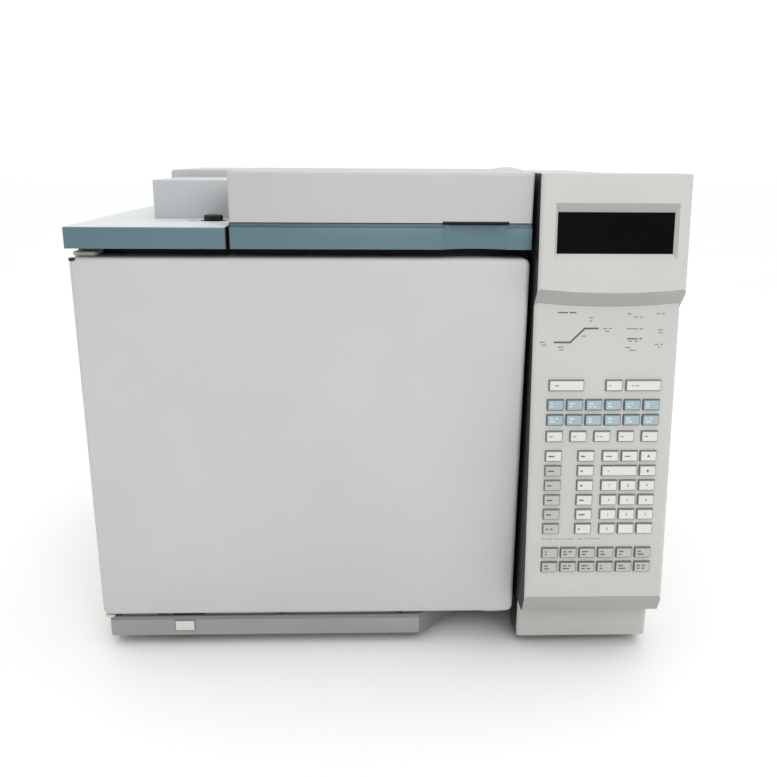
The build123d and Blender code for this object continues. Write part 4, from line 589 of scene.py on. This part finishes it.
mineral_wool = uneven("mineral wool", shade(WOOL, 0.72), WOOL, (0.85, 0.97), 260.0, 30.0, depth=0.0012,
                      Sheen_Weight=0.2)
seal_rope = rope("seal rope", linear(208, 204, 192))
print("soft finishes ready")

# %% Capillary, boards and window
AMBER = linear(150, 92, 38)
LACQUER, TRACKS = linear(26, 84, 52), linear(62, 122, 70)


def board_lacquer():
    """Green lacquer over copper tracks that run along the board in steps."""
    material, tree = new_material("board lacquer", Coat_Weight=0.3)
    brick = tree.nodes.new("ShaderNodeTexBrick")
    brick.inputs["Scale"].default_value = 90.0
    brick.inputs["Mortar Size"].default_value = 0.03
    place = parts_of(tree, object_coordinates(tree))
    joined = tree.nodes.new("ShaderNodeCombineXYZ")
    tree.links.new(math_node(tree, "ADD", place["X"], place["Y"]), joined.inputs["X"])
    tree.links.new(place["Z"], joined.inputs["Y"])
    tree.links.new(joined.outputs[0], brick.inputs["Vector"])
    steps = brick.outputs["Fac"]
    return dress(material, mix_color(tree, steps, LACQUER, TRACKS), 0.35, steps, 0.00005)


column_amber = uneven("column capillary", shade(AMBER, 0.6), AMBER, (0.25, 0.4), 900.0, 60.0, Coat_Weight=0.5)
board_green = board_lacquer()
display_glass = uneven("display glass", linear(4, 7, 6), linear(9, 13, 12), (0.05, 0.14), 90.0, 14.0, "Drift",
                       Specular_IOR_Level=0.1)
print("materials:", len(bpy.data.materials))

# %% [markdown]
# ## Which piece takes which finish
# Each solid keeps the shape it came with. Only its material slot is filled, so the finish can be
# changed here in one place.

# %% Finishes by piece
FINISHES = (
    (door_grey, "door_skin"),
    (tower_flank_and_underside_shade, "tower_housing"),
    (lid_with_slot_shade, "detector_lid"),
    (lid_grey, "rear_cover"),
    (fascia_slot_and_split_shade, "front_fascia"),
    (deck_pale_top_and_split_shade, "inlet_deck"),
    (frame_with_head_shade, "front_frame"),
    # painted shade: the wall in the gap beside the door is near black
    (shade_black, "bay_wall"),
    (strip_with_painted_shadow, "front_base_strip"),
    (foot_flank_and_painted_shade, "tower_base"),
    (panel_coat, "left_side_panel", "tower_side_cover", "rear_panel"),
    (bracket_beige, "door_hinge_brackets"),
    (enamel_dark, "fan_motor", "power_supply"),
    (socket_black, "rear_sockets", "power_switch"),
    (foot_black, "feet"),
    (nut_black, "septum_nuts"),
    (key_pale, "power_button", "key_start", "key_stop", "key_prepare", "keys_function", "keys_arrow",
     "key_enter", "keys_number"),
    (key_grey, "keys_lower"),
    (key_teal, "keys_zone"),
    (key_two_greys, "keys_setup"),
    (cover_grey, "inlet_cover"),
    (zinc_sheet, "base_rails", "floor_pan", "top_plate", "oven_shell", "exhaust_duct",
     "panel_screws"),
    (stainless, "oven_liner", "door_liner", "fan_shroud", "fan_wheel", "vent_flap", "column_cage"),
    (turned_steel, "inlet_bodies", "detectors"),
    (ground_bar, "fan_shaft", "latch_pin", "latch_lever"),
    (cast_gas_block, "gas_modules"),
    (brass, "gas_fittings"),
    (heater_sheath, "heater_coil"),
    (mineral_wool, "oven_insulation", "door_insulation"),
    (seal_rope, "door_seal"),
    (column_amber, "column_coil"),
    (board_green, "display_module", "keypad_board", "main_board"),
    (display_glass, "display_window"),
)


def fill_slots(obj, material):
    """Gives every material slot of an object the same material."""
    if not obj.material_slots:
        obj.data.materials.append(material)
    for slot in obj.material_slots:
        slot.material = material


finished = set()
for material, *names in FINISHES:
    for name in names:
        fill_slots(NODES[name], material)
        finished.add(name)
print("finished nodes:", len(finished), "left over:", sorted(set(NODES) - finished))

# %% [markdown]
# ## Rounded edges
# Real sheet and mouldings have no knife edges, and it is the thin highlight along an edge that makes a
# shape look made. The solids arrive as loose triangles, so four modifiers work in a row: the corners
# are welded, flat triangles are joined back into whole faces, the sharp edges get a bevel, and a small
# geometry group marks gentle edges as smooth. Modifiers leave the solid underneath untouched.

# %% Smooth shading under an angle
def smooth_group(angle=radians(32)):
    """Geometry nodes that shade smooth across every edge flatter than the angle."""
    group = bpy.data.node_groups.new("smooth gentle edges", "GeometryNodeTree")
    group.interface.new_socket(name="Geometry", in_out="INPUT", socket_type="NodeSocketGeometry")
    group.interface.new_socket(name="Geometry", in_out="OUTPUT", socket_type="NodeSocketGeometry")
    group.is_modifier = True
    given = group.nodes.new("NodeGroupInput")
    out = group.nodes.new("NodeGroupOutput")
    faces = group.nodes.new("GeometryNodeSetShadeSmooth")
    faces.domain = "FACE"
    edges = group.nodes.new("GeometryNodeSetShadeSmooth")
    edges.domain = "EDGE"
    fold = group.nodes.new("GeometryNodeInputMeshEdgeAngle")
    gentle = group.nodes.new("FunctionNodeCompare")
    gentle.data_type = "FLOAT"
    gentle.operation = "LESS_THAN"
    gentle.inputs["B"].default_value = angle
    group.links.new(fold.outputs["Unsigned Angle"], gentle.inputs["A"])
    group.links.new(given.outputs["Geometry"], faces.inputs["Geometry"])
    group.links.new(faces.outputs["Geometry"], edges.inputs["Geometry"])
    group.links.new(gentle.outputs["Result"], edges.inputs["Shade Smooth"])
    group.links.new(edges.outputs["Geometry"], out.inputs["Geometry"])
    return group


SMOOTH = smooth_group()
print("group:", SMOOTH.name)

# %% The row of modifiers
WELD_DISTANCE = 0.000002
FLAT_ANGLE, SHARP_ANGLE = radians(0.3), radians(35)


def round_edges(obj, width=0.0, joins=True):
    """Weld, join flat faces, bevel the sharp edges by `width` metres, and smooth what is gentle."""
    weld = obj.modifiers.new("weld corners", "WELD")
    weld.merge_threshold = WELD_DISTANCE
    if width and joins:
        joined = obj.modifiers.new("join flat faces", "DECIMATE")
        joined.decimate_type = "DISSOLVE"
        joined.angle_limit = FLAT_ANGLE
    if width:
        bevel = obj.modifiers.new("round edges", "BEVEL")
        bevel.width = width
        bevel.segments = 2
        bevel.limit_method = "ANGLE"
        bevel.angle_limit = SHARP_ANGLE
        bevel.use_clamp_overlap = True
        bevel.miter_outer = "MITER_ARC"
    smooth = obj.modifiers.new("smooth gentle edges", "NODES")
    smooth.node_group = SMOOTH


# faces with holes in them stay in triangles, because a bevel tears a joined face with a hole
HOLED = ("inlet_deck", "rear_cover", "rear_panel", "tower_side_cover", "front_frame", "detector_lid")
EDGE_WIDTHS = {
    0.0002: ("power_button",),
    0.0003: ("rear_panel", "latch_lever", "rear_sockets", "front_frame"),
    0.0004: ("door_skin", "left_side_panel", "tower_side_cover", "door_hinge_brackets"),
    0.0005: ("inlet_cover", "front_fascia", "front_base_strip"),
    0.0006: ("detector_lid", "inlet_deck", "tower_base"),
    0.0010: ("rear_cover",),
    0.0015: ("feet",),
}
WIDTH_OF = {name: width for width, names in EDGE_WIDTHS.items() for name in names}
for name in NODES:
    round_edges(NODES[name], WIDTH_OF.get(name, 0.0), name not in HOLED)
print("rounded:", len(WIDTH_OF), "smoothed:", len(NODES))

# %% [markdown]
# ## The keypad's own plane
# The keypad leans: its lip stands in front of its neck under the hood. Printing on it is easiest in
# coordinates of its own, with X across, Y up the slope and Z out of the face. One matrix carries them
# to the model, and its inverse finds every key's face from the key's own solid.

# %% Keypad coordinates
NECK_BACK, NECK_DROP, LIP_RISE = 0.030, 0.118, 0.021
neck = Vector((0, tower_low.y + NECK_BACK, tower_high.z - NECK_DROP))
lip = Vector((0, tower_low.y, tower_low.z + LIP_RISE))
slope = (neck - lip).normalized()
across = Vector((1, 0, 0))
outward = across.cross(slope)
KEYPAD = Matrix.Translation(neck) @ Matrix((across, slope, outward)).transposed().to_4x4()
print("keypad leans", round(degrees(atan2(neck.y - lip.y, neck.z - lip.z)), 2), "degrees")

# %% Where the separate solids of one node lie
KEY_TOP = 0.001  # the layer of a key whose outline counts


def islands(name, matrix=None, cap=None):
    """Bounds of each separate solid of a node, as (low, high), in the axes of `matrix`.

    With `cap`, only the solid's top layer counts, `cap` metres thick.
    """
    mesh = bmesh.new()
    mesh.from_mesh(NODES[name].data)
    bmesh.ops.remove_doubles(mesh, verts=mesh.verts, dist=WELD_DISTANCE)
    back = (matrix or Matrix()).inverted()
    left, found = set(mesh.verts), []
    while left:
        queue, points = [left.pop()], []
        while queue:
            vert = queue.pop()
            points.append(back @ vert.co)
            touching = {edge.other_vert(vert) for edge in vert.link_edges} & left
            left -= touching
            queue.extend(touching)
        peak = max(point.z for point in points)
        points = [point for point in points if cap is None or point.z > peak - cap]
        found.append(tuple(Vector([limit(point[i] for point in points) for i in range(3)])
                           for limit in (min, max)))
    mesh.free()
    return sorted(found, key=lambda pair: (-round(pair[0].y, 3), pair[0].x))


KEY_FACES = {name: islands(name, KEYPAD, KEY_TOP) for name in NODES
             if name.startswith("key") and name != "keypad_board"}
print("keys:", sum(len(faces) for faces in KEY_FACES.values()))

# %% [markdown]
# ## Printing
# Legends are ink a few hundredths of a millimetre proud. Each is a rounded stroke: a one-cell grid,
# stretched, turned and set down. The legends stand for words and stay unreadable; only the number
# block has real figures.

# %% Inks
def ink(name, color):
    """Screen ink: slightly broken coverage, so that the tone is never quite even."""
    return uneven(name, shade(color, 0.9), shade(color, 1.12), (0.5, 0.6), 5200.0, 120.0)


ink_dark = ink("ink dark grey", linear(92, 94, 93))
ink_mid = ink("ink mid grey", linear(142, 144, 141))
ink_pale = ink("ink pale", linear(206, 218, 220))
print("inks ready")

# %% Strokes
INK_HEIGHT = 0.00004
ROUNDING = 0.4  # of a stroke's width, at its corners
WORD_GAP = 1.2  # between words, in stroke widths
draw = random.Random(7)


def stroke(mesh, start, end, width, height):
    """A rounded ink stroke in the keypad's plane, from start to end, at a height over the plane."""
    run = Vector((end[0] - start[0], end[1] - start[1]))
    middle = ((start[0] + end[0]) / 2, (start[1] + end[1]) / 2, height)
    verts = bmesh.ops.create_grid(mesh, x_segments=1, y_segments=1, size=0.5)["verts"]
    bmesh.ops.scale(mesh, vec=(run.length + width, width, 1), verts=verts)
    corners = bmesh.ops.bevel(mesh, geom=verts, offset=width * ROUNDING, offset_type="OFFSET", segments=3,
                              profile=0.5, affect="VERTICES", material=-1)
    verts = list({vert for face in corners["faces"] for vert in face.verts} | set(corners["verts"]))
    turn = Matrix.Rotation(atan2(run.y, run.x), 4, "Z")
    bmesh.ops.transform(mesh, matrix=Matrix.Translation(middle) @ turn, verts=verts)


def words(mesh, left, right, y, height, thick):
    """A line of print as a few strokes with word gaps, their lengths drawn at random."""
    x = left
    while x < right - thick * 2:
        end = min(right, x + draw.uniform(0.3, 0.8) * (right - left))
        stroke(mesh, (x + thick / 2, y), (max(end - thick / 2, x + thick), y), thick, height)
        x = end + thick * WORD_GAP


def new_piece(name, mesh, material, body, matrix=None):
    """Makes an object of a bmesh, with its place in its mesh, and lets it ride on a body."""
    if matrix is not None:
        bmesh.ops.transform(mesh, matrix=matrix, verts=mesh.verts)
    data = bpy.data.meshes.new(name)
    mesh.to_mesh(data)
    mesh.free()
    data.materials.append(material)
    piece = link_object(name, data)
    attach(piece, body)
    return piece


print("strokes ready")

# %% Legends on the keys
LEGEND_MARGIN = 0.16  # share of a key's width that stays bare at each end
LINE_PITCH = 2.1  # from line to line, in stroke widths
LEGEND_STYLES = {
    # node: (ink, lines of print, share of the key's width, thickness in metres)
    "key_start": (ink_dark, 1, 0.34, 0.0010),
    "key_stop": (ink_mid, 1, 0.55, 0.0010),
    "key_prepare": (ink_mid, 1, 0.42, 0.0010),
    "keys_zone": (ink_pale, 2, 0.74, 0.0014),
    "keys_function": (ink_mid, 1, 0.78, 0.0012),
    "keys_setup": (ink_dark, 1, 0.80, 0.0014),
    "key_enter": (ink_dark, 1, 0.22, 0.0010),
    "keys_lower": (ink_dark, 2, 0.82, 0.0014),
}
BODY_OF = {node: body for body, members in frame["record"]["behaviour"]["bodies"].items()
           for node in members}
for name, (colour, lines, share, thick) in LEGEND_STYLES.items():
    mesh = bmesh.new()
    for low, high in KEY_FACES[name]:
        margin = (high.x - low.x) * LEGEND_MARGIN
        width = (high.x - low.x - 2 * margin) * share * draw.uniform(0.85, 1.15)
        left = low.x + margin
        for line in range(lines):
            y = (low.y + high.y) / 2 + (0.5 * (lines - 1) - line) * LINE_PITCH * thick
            words(mesh, left, left + width * draw.uniform(0.75, 1.0), y, high.z + INK_HEIGHT, thick)
    new_piece(name + "_legends", mesh, colour, BODY_OF[name], KEYPAD)
print("legends on", len(LEGEND_STYLES), "groups of keys")

# %% Figures on the number block
FIGURE_HEIGHT = 0.0042
FIGURES = ("", "", "7", "8", "9", "4", "5", "6", "1", "2", "3", "0", ".", "-")
BARE_LEFT, BARE_RIGHT = 0.003, 0.005  # bare ends of a key that has words in place of a figure
WORDS_THICK = 0.0010


def on_key(low, high):
    """The middle of a key's face, at the height of the ink."""
    return Vector(((low.x + high.x) / 2, (low.y + high.y) / 2, high.z + INK_HEIGHT))


def figure(mesh, text, place):
    """Adds one figure, centred at `place` in the keypad's axes, to a bmesh."""
    curve = bpy.data.curves.new("figure", "FONT")
    curve.body = text
    curve.size = FIGURE_HEIGHT
    curve.align_x = "CENTER"
    curve.align_y = "CENTER"
    shape = bpy.data.objects.new("figure", curve)
    flat = bpy.data.meshes.new_from_object(shape)
    before = set(mesh.verts)
    mesh.from_mesh(flat)
    bmesh.ops.translate(mesh, vec=place, verts=[vert for vert in mesh.verts if vert not in before])
    bpy.data.objects.remove(shape)
    bpy.data.meshes.remove(flat)


mesh = bmesh.new()
for text, (low, high) in zip(FIGURES, KEY_FACES["keys_number"]):
    place = on_key(low, high)
    if text:
        figure(mesh, text, place)
    else:
        words(mesh, low.x + BARE_LEFT, high.x - BARE_RIGHT, place.y, place.z, WORDS_THICK)
new_piece("number_figures", mesh, ink_dark, BODY_OF["keys_number"], KEYPAD)
print("figures:", len([text for text in FIGURES if text]))

# %% Arrows
ARROW_RADIUS = 0.0019
mesh = bmesh.new()
for turn, (low, high) in zip((0, pi), KEY_FACES["keys_arrow"]):
    place = Matrix.Translation(on_key(low, high)) @ Matrix.Rotation(turn, 4, "Z")
    bmesh.ops.create_circle(mesh, cap_ends=True, segments=3, radius=ARROW_RADIUS, matrix=place)
new_piece("arrow_legends", mesh, ink_dark, BODY_OF["keys_arrow"], KEYPAD)
print("arrows placed")

# %% Painted shade round the keys
GAP_SHADE_WIDTH = 0.0006


def frame_of_strips(mesh, low, high, height):
    """Four flat strips round a rectangle in the keypad's plane, outside its edges."""
    xs = (low.x - GAP_SHADE_WIDTH, low.x, high.x, high.x + GAP_SHADE_WIDTH)
    ys = (low.y - GAP_SHADE_WIDTH, low.y, high.y, high.y + GAP_SHADE_WIDTH)
    for left, right, bottom, top in ((0, 1, 0, 3), (2, 3, 0, 3), (1, 2, 2, 3), (1, 2, 0, 1)):
        corners = ((left, bottom), (right, bottom), (right, top), (left, top))
        mesh.faces.new([mesh.verts.new((xs[x], ys[y], height)) for x, y in corners])


# painted shade: a grey ring laid flat round every key, for the shadow in its gap
mesh = bmesh.new()
for faces in KEY_FACES.values():
    for low, high in faces:
        frame_of_strips(mesh, low, high, INK_HEIGHT / 2)
new_piece("key_gap_shade", mesh, key_gap_shade_grey, "cabinet", KEYPAD)
print("painted shade round", sum(len(faces) for faces in KEY_FACES.values()), "keys")

# %% Status print under the hood
TENTH = 0.0001
STATUS_LINES = {
    # left end and length along the keypad, distance down from the hood, all in tenths of a millimetre
    ink_dark: (
        (1720, 180, 100), (2395, 150, 350),
    ),
    ink_mid: (
        (1550, 95, 385), (1570, 70, 412), (1730, 85, 430), (1745, 60, 458), (2020, 80, 148),
        (2030, 65, 180), (1960, 55, 325), (2160, 85, 252), (2185, 50, 278), (2390, 80, 112),
        (2450, 90, 142), (2390, 160, 254), (2410, 110, 372), (2385, 70, 435), (2430, 85, 462),
        (2670, 85, 110), (2690, 70, 265), (2700, 60, 292), (2670, 80, 405), (2700, 60, 430),
    ),
}
RAMP = ((0.1700, 0.0385), (0.1850, 0.0386), (0.1985, 0.0252), (0.2110, 0.0251))
RAMP_WIDTH = 0.0018
LOWER_TITLE = (0.1650, 0.2250, 0.2362)  # left, right and distance down
TITLE_WORDS, WORD_FILL = 5, 0.88  # words in it, and the share of its place that each one takes
STATUS_THICK, TITLE_THICK = 0.0013, 0.0009


def status_print(name, colour):
    """One object with all the status lines of one ink."""
    mesh = bmesh.new()
    for left, length, down in STATUS_LINES[colour]:
        words(mesh, left * TENTH, (left + length) * TENTH, -down * TENTH, INK_HEIGHT, STATUS_THICK)
    if colour is ink_dark:
        for start, end in zip(RAMP, RAMP[1:]):
            stroke(mesh, (start[0], -start[1]), (end[0], -end[1]), RAMP_WIDTH, INK_HEIGHT)
    else:
        left, right, down = LOWER_TITLE
        step = (right - left) / TITLE_WORDS
        for i in range(TITLE_WORDS):
            words(mesh, left + i * step, left + (i + WORD_FILL) * step, -down, INK_HEIGHT, TITLE_THICK)
    new_piece(name, mesh, colour, "cabinet", KEYPAD)


status_print("status_titles", ink_dark)
status_print("status_lines", ink_mid)
print("status print ready")

# %% [markdown]
# ## The base strip's return
# At its right end the strip leaves its front face on a slant and then flattens, to give room for the
# fingers under the latch. The solid turns there on a plain arc, so the strip is shown by a copy in which
# every corner on the arc slides to the slanted line, outer and inner skin alike.

# %% Base strip
RETURN_CENTRE, RETURN_RADIUS = Vector((0.0450, -0.1620)), 0.0450
RETURN_LINE = (
    # share of the turn, and the place it goes to
    (0.00, Vector((0.0450, -0.2070))), (0.25, Vector((0.0555, -0.1995))), (0.50, Vector((0.0650, -0.1880))),
    (0.70, Vector((0.0720, -0.1795))), (0.85, Vector((0.0800, -0.1730))), (1.00, Vector((0.0900, -0.1620))),
)
ARC_BAND = (RETURN_RADIUS - 0.0040, RETURN_RADIUS + 0.0010)  # the strip's two skins lie between these
ARC_START = RETURN_CENTRE.x + 0.0001


def along_return(share):
    """The place on the slanted line for a share of the turn."""
    for (start, first), (end, last) in zip(RETURN_LINE, RETURN_LINE[1:]):
        if share <= end:
            return first.lerp(last, (share - start) / (end - start))
    return RETURN_LINE[-1][1]


mesh = bmesh.new()
mesh.from_mesh(NODES["front_base_strip"].data)
bmesh.ops.remove_doubles(mesh, verts=mesh.verts, dist=WELD_DISTANCE)
moved = 0
for vert in mesh.verts:
    spoke = vert.co.xy - RETURN_CENTRE
    if vert.co.x > ARC_START and spoke.y < 0 and ARC_BAND[0] < spoke.length < ARC_BAND[1]:
        share = 1 + atan2(spoke.y, spoke.x) / (pi / 2)
        vert.co.xy += along_return(share) - RETURN_CENTRE - RETURN_RADIUS * spoke.normalized()
        moved += 1
strip = new_piece("base_strip", mesh, strip_with_painted_shadow, "cabinet")
round_edges(strip, WIDTH_OF["front_base_strip"])
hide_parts("front_base_strip")
print("corners moved on the return:", moved)

# %% [markdown]
# ## Small hardware
# These are the details that a lens finds first: the fine knurl of the two septum nuts, a disc of painted
# shade in the bore of the socket beside the front one, a black block of painted shade in the gap at the
# door's upper corner, black crosses of painted shade for the cross recesses of the panel screws, and the
# contacts in the signal sockets.

# %% Knurled septum nuts
KNURLS = 72
KNURL_DEPTH = 0.0005
GRIP_RADIUS = 0.0094  # the knurl is outside this
NUT_PROFILE = (
    # radius, height over the nut's foot, in metres
    (0.0015, 0.0002), (0.0088, 0.0), (0.0095, 0.0006), (0.0095, 0.0032), (0.0089, 0.0035),
    (0.0089, 0.0039), (0.0095, 0.0042), (0.0095, 0.0086), (0.0088, 0.0096), (0.0062, 0.0100),
    (0.0045, 0.0100), (0.0015, 0.0086),
)


def spin_outline(mesh, points, axis, steps):
    """Closes an outline and spins it once round an axis through the origin."""
    ring = [mesh.verts.new(point) for point in points]
    edges = [mesh.edges.new(pair) for pair in zip(ring, ring[1:] + ring[:1])]
    bmesh.ops.spin(mesh, geom=ring + edges, cent=(0, 0, 0), axis=axis, dvec=(0, 0, 0), angle=2 * pi,
                   steps=steps, use_merge=True, use_duplicate=False)


def knurled_nut(mesh, centre):
    """Spins the nut's profile and presses every other facet of its grip inwards."""
    before = set(mesh.verts)
    spin_outline(mesh, [(radius, 0, height) for radius, height in NUT_PROFILE], (0, 0, 1), KNURLS)
    added = [vert for vert in mesh.verts if vert not in before]
    for vert in added:
        radius = vert.co.xy.length
        step = round(atan2(vert.co.y, vert.co.x) / (2 * pi / KNURLS))
        if radius > GRIP_RADIUS and step % 2:
            vert.co.xy *= (radius - KNURL_DEPTH) / radius
    bmesh.ops.translate(mesh, vec=centre, verts=added)


nut_boxes = islands("septum_nuts")
mesh = bmesh.new()
for low, high in nut_boxes:
    knurled_nut(mesh, Vector(((low.x + high.x) / 2, (low.y + high.y) / 2, low.z)))
bmesh.ops.recalc_face_normals(mesh, faces=mesh.faces)
nuts = new_piece("knurled_nuts", mesh, nut_black, "cabinet")
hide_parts("septum_nuts")
print("knurled nuts:", len(nuts.data.polygons), "faces")

# %% Painted shade in the socket's bore
SOCKET_FROM_NUT = Vector((-0.0190, -0.0120, 0))
BORE_RADIUS = 0.0043
BORE_SHADE_SUNK = 0.0002  # the disc of painted shade lies this far under the socket's rim
low, high = min(nut_boxes, key=lambda pair: pair[0].y)
bore = (low + high) / 2 + SOCKET_FROM_NUT
bore.z = deck_high.z - BORE_SHADE_SUNK
mesh = bmesh.new()
bmesh.ops.create_circle(mesh, cap_ends=True, segments=40, radius=BORE_RADIUS, matrix=Matrix.Translation(bore))
new_piece("socket_bore_shade", mesh, shade_black, "cabinet")
print("bore at", [round(v, 4) for v in bore])

# %% Painted shade at the door's corner, hinge washer and painted shade in screw recesses
CORNER_SHADE_BLOCK = (Vector((0.0004, 0.0004, -0.0033)), Vector((0.0066, 0.0090, -0.0003)))
WASHER_X, WASHER_Y = (-0.0020, 0.0075), (0.0006, 0.0100)  # from the strip's end and the door's face
WASHER_GAP = 0.0002
RECESS_LONG, RECESS_NARROW = 0.0021, 0.0004  # half the sides of a screw's slot, a cross of painted shade
RECESS_SUNK, RECESS_PROUD = 0.0005, 0.00004


def block(mesh, low, high, bevel=0.0):
    """A box between two corners, with bevels of `bevel` metres on all its edges when that is given."""
    low, high = Vector(low), Vector(high)
    verts = bmesh.ops.create_cube(mesh, size=1.0)["verts"]
    bmesh.ops.scale(mesh, vec=high - low, verts=verts)
    bmesh.ops.translate(mesh, vec=(low + high) / 2, verts=verts)
    if bevel:
        edges = list({edge for vert in verts for edge in vert.link_edges})
        bmesh.ops.bevel(mesh, geom=edges, offset=bevel, offset_type="OFFSET", segments=2, profile=0.5,
                        affect="EDGES", material=-1)


# painted shade: a black block in the gap at the door's upper left corner
upper_left = Vector((door_low.x, door_low.y, door_high.z))
mesh = bmesh.new()
block(mesh, upper_left + CORNER_SHADE_BLOCK[0], upper_left + CORNER_SHADE_BLOCK[1], 0.0008)
new_piece("door_corner_shade", mesh, nut_black, "oven_door")
mesh = bmesh.new()
block(mesh, (strip_low.x + WASHER_X[0], door_low.y + WASHER_Y[0], strip_high.z + WASHER_GAP),
      (strip_low.x + WASHER_X[1], door_low.y + WASHER_Y[1], door_low.z - WASHER_GAP), 0.0004)
new_piece("lower_hinge_washer", mesh, bracket_beige, "cabinet")
# painted shade: a flat black cross on each screw head stands for its recess
mesh = bmesh.new()
for low, high in islands("panel_screws"):
    middle = (low + high) / 2
    for wide, tall in ((RECESS_LONG, RECESS_NARROW), (RECESS_NARROW, RECESS_LONG)):
        block(mesh, (middle.x - wide, high.y - RECESS_SUNK, middle.z - tall),
              (middle.x + wide, high.y + RECESS_PROUD, middle.z + tall))
new_piece("screw_recess_shade", mesh, shade_black, "cabinet")
print("corner shade, washer and recess shade placed")

# %% Contacts and posts of the signal sockets
PINS_IN_ROWS = (13, 12)
PIN_PITCH, ROW_PITCH = 0.00225, 0.0024
PIN_RADIUS, PIN_PROUD = 0.0006, 0.00005
POST_ASIDE, POST_SUNK = 0.0215, 0.00225
POST_HALF = Vector((0.0020, 0.00175, 0.0020))
SIGNAL_HEIGHT = 0.02  # a taller socket is the mains inlet
TO_REAR = Matrix.Rotation(-pi / 2, 4, "X")
contacts, posts = bmesh.new(), bmesh.new()
for low, high in islands("rear_sockets"):
    if high.z - low.z > SIGNAL_HEIGHT:
        continue
    middle = (low + high) / 2
    for row, count in enumerate(PINS_IN_ROWS):
        for i in range(count):
            place = Vector((middle.x + (i - (count - 1) / 2) * PIN_PITCH, high.y + PIN_PROUD,
                            middle.z + (0.5 - row) * ROW_PITCH))
            bmesh.ops.create_circle(contacts, cap_ends=True, segments=10, radius=PIN_RADIUS,
                                    matrix=Matrix.Translation(place) @ TO_REAR)
    for side in (-1, 1):
        post = Vector((middle.x + side * POST_ASIDE, high.y - POST_SUNK, middle.z))
        block(posts, post - POST_HALF, post + POST_HALF, 0.0004)
new_piece("socket_contacts", contacts, brass, "cabinet")
new_piece("socket_posts", posts, turned_steel, "cabinet")
print("contacts and posts placed")

# %% [markdown]
# ## The wound column
# The capillary is wound turn beside turn on its cage. The wound ring is one profile, scalloped by the
# turns on its outer side, spun round the cage's axis.

# %% Column
TURN_PITCH = 0.0010
POINTS_PER_TURN = 4
SCALLOP = 0.0003
BARE_END = 0.0008  # of the cage's width, in front of the first turn and behind the last
COLUMN_THICK = 0.005
SPIN_STEPS = 96
column_low, column_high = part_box("column_coil")
column_middle = (column_low + column_high) / 2
COLUMN_RADIUS = (column_high.z - column_low.z) / 2


def scalloped_outline():
    """Radius and Y of the turns from front to back, and of a plain inner side back to the front."""
    turns = round((column_high.y - column_low.y - 2 * BARE_END) / TURN_PITCH)
    outer = []
    for i in range(turns * POINTS_PER_TURN + 1):
        dip = SCALLOP * (0.5 - 0.5 * cos(2 * pi * i / POINTS_PER_TURN))
        y = column_low.y + BARE_END + i * TURN_PITCH / POINTS_PER_TURN
        outer.append((COLUMN_RADIUS - SCALLOP + dip, y))
    return outer + [(COLUMN_RADIUS - COLUMN_THICK, y) for radius, y in outer[::-POINTS_PER_TURN]]


mesh = bmesh.new()
spin_outline(mesh, [(radius, y, 0) for radius, y in scalloped_outline()], (0, 1, 0), SPIN_STEPS)
bmesh.ops.recalc_face_normals(mesh, faces=mesh.faces)
column_place = Matrix.Translation((column_middle.x, 0, column_middle.z))
column = new_piece("wound_column", mesh, column_amber, "cabinet", column_place)
for face in column.data.polygons:
    face.use_smooth = True
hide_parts("column_coil")
print("column wound:", len(column.data.polygons), "faces")

# %% [markdown]
# ## The stage
# A pale floor, a white room and one large soft light over the front. Almost all the light comes from
# the room, so the faces keep their own tones and only gaps and undersides go dark; many of these also
# carry painted shade in their materials.

# %% Floor and room
FLOOR_SIZE = 30.0
WHITE = (1.0, 1.0, 1.0, 1.0)
FLOOR_TONE = linear(250, 250, 250)
WALL_TURN = (-0.35, 0.35)  # the room's Y direction, over which its front fades into its back


def stage_floor():
    """A pale floor, for the picture only."""
    mesh = bmesh.new()
    bmesh.ops.create_grid(mesh, x_segments=8, y_segments=8, size=FLOOR_SIZE / 2)
    data = bpy.data.meshes.new("floor")
    mesh.to_mesh(data)
    mesh.free()
    material, tree = new_material("pale floor")
    texture = place_group(material, GRAIN, Grain_scale=60.0, Drift_scale=1.5)
    dress(material, tones(tree, texture["Drift"], shade(FLOOR_TONE, 0.985), FLOOR_TONE), 0.8)
    data.materials.append(material)
    link_object("floor", data)


def studio_room(front, behind):
    """A room whose wall behind the instrument is brighter than the side where the camera stands."""
    room = bpy.data.worlds.new("studio room")
    room.use_nodes = True
    tree = room.node_tree
    place = parts_of(tree, tree.nodes.new("ShaderNodeTexCoord").outputs["Generated"])
    strength = map_range(tree, place["Y"], WALL_TURN, (front, behind))
    tree.links.new(strength, tree.nodes["Background"].inputs["Strength"])
    tree.nodes["Background"].inputs["Color"].default_value = WHITE
    return room


stage_floor()
bpy.context.scene.world = studio_room(front=0.4, behind=1.02)
print("floor and room ready")

# %% Lights
SOFTBOX_PLACE, SOFTBOX_TARGET = Vector((0.55, -1.8, 1.3)), Vector((0, -0.2, 0.25))
softbox_data = bpy.data.lights.new("front softbox", "AREA")
softbox_data.shape = "SQUARE"
softbox_data.size = 1.0
softbox_data.energy = 10.6
softbox = link_object("front softbox", softbox_data)
softbox.location = SOFTBOX_PLACE
softbox.rotation_euler = (SOFTBOX_TARGET - SOFTBOX_PLACE).to_track_quat("-Z", "Y").to_euler()
overhead_data = bpy.data.lights.new("overhead diffuser", "SUN")
overhead_data.energy = 1.08
overhead_data.angle = radians(75)
overhead = link_object("overhead diffuser", overhead_data)
overhead.rotation_euler = (radians(12), 0, 0)
bpy.context.scene.view_settings.view_transform = "Standard"
print("stage ready")
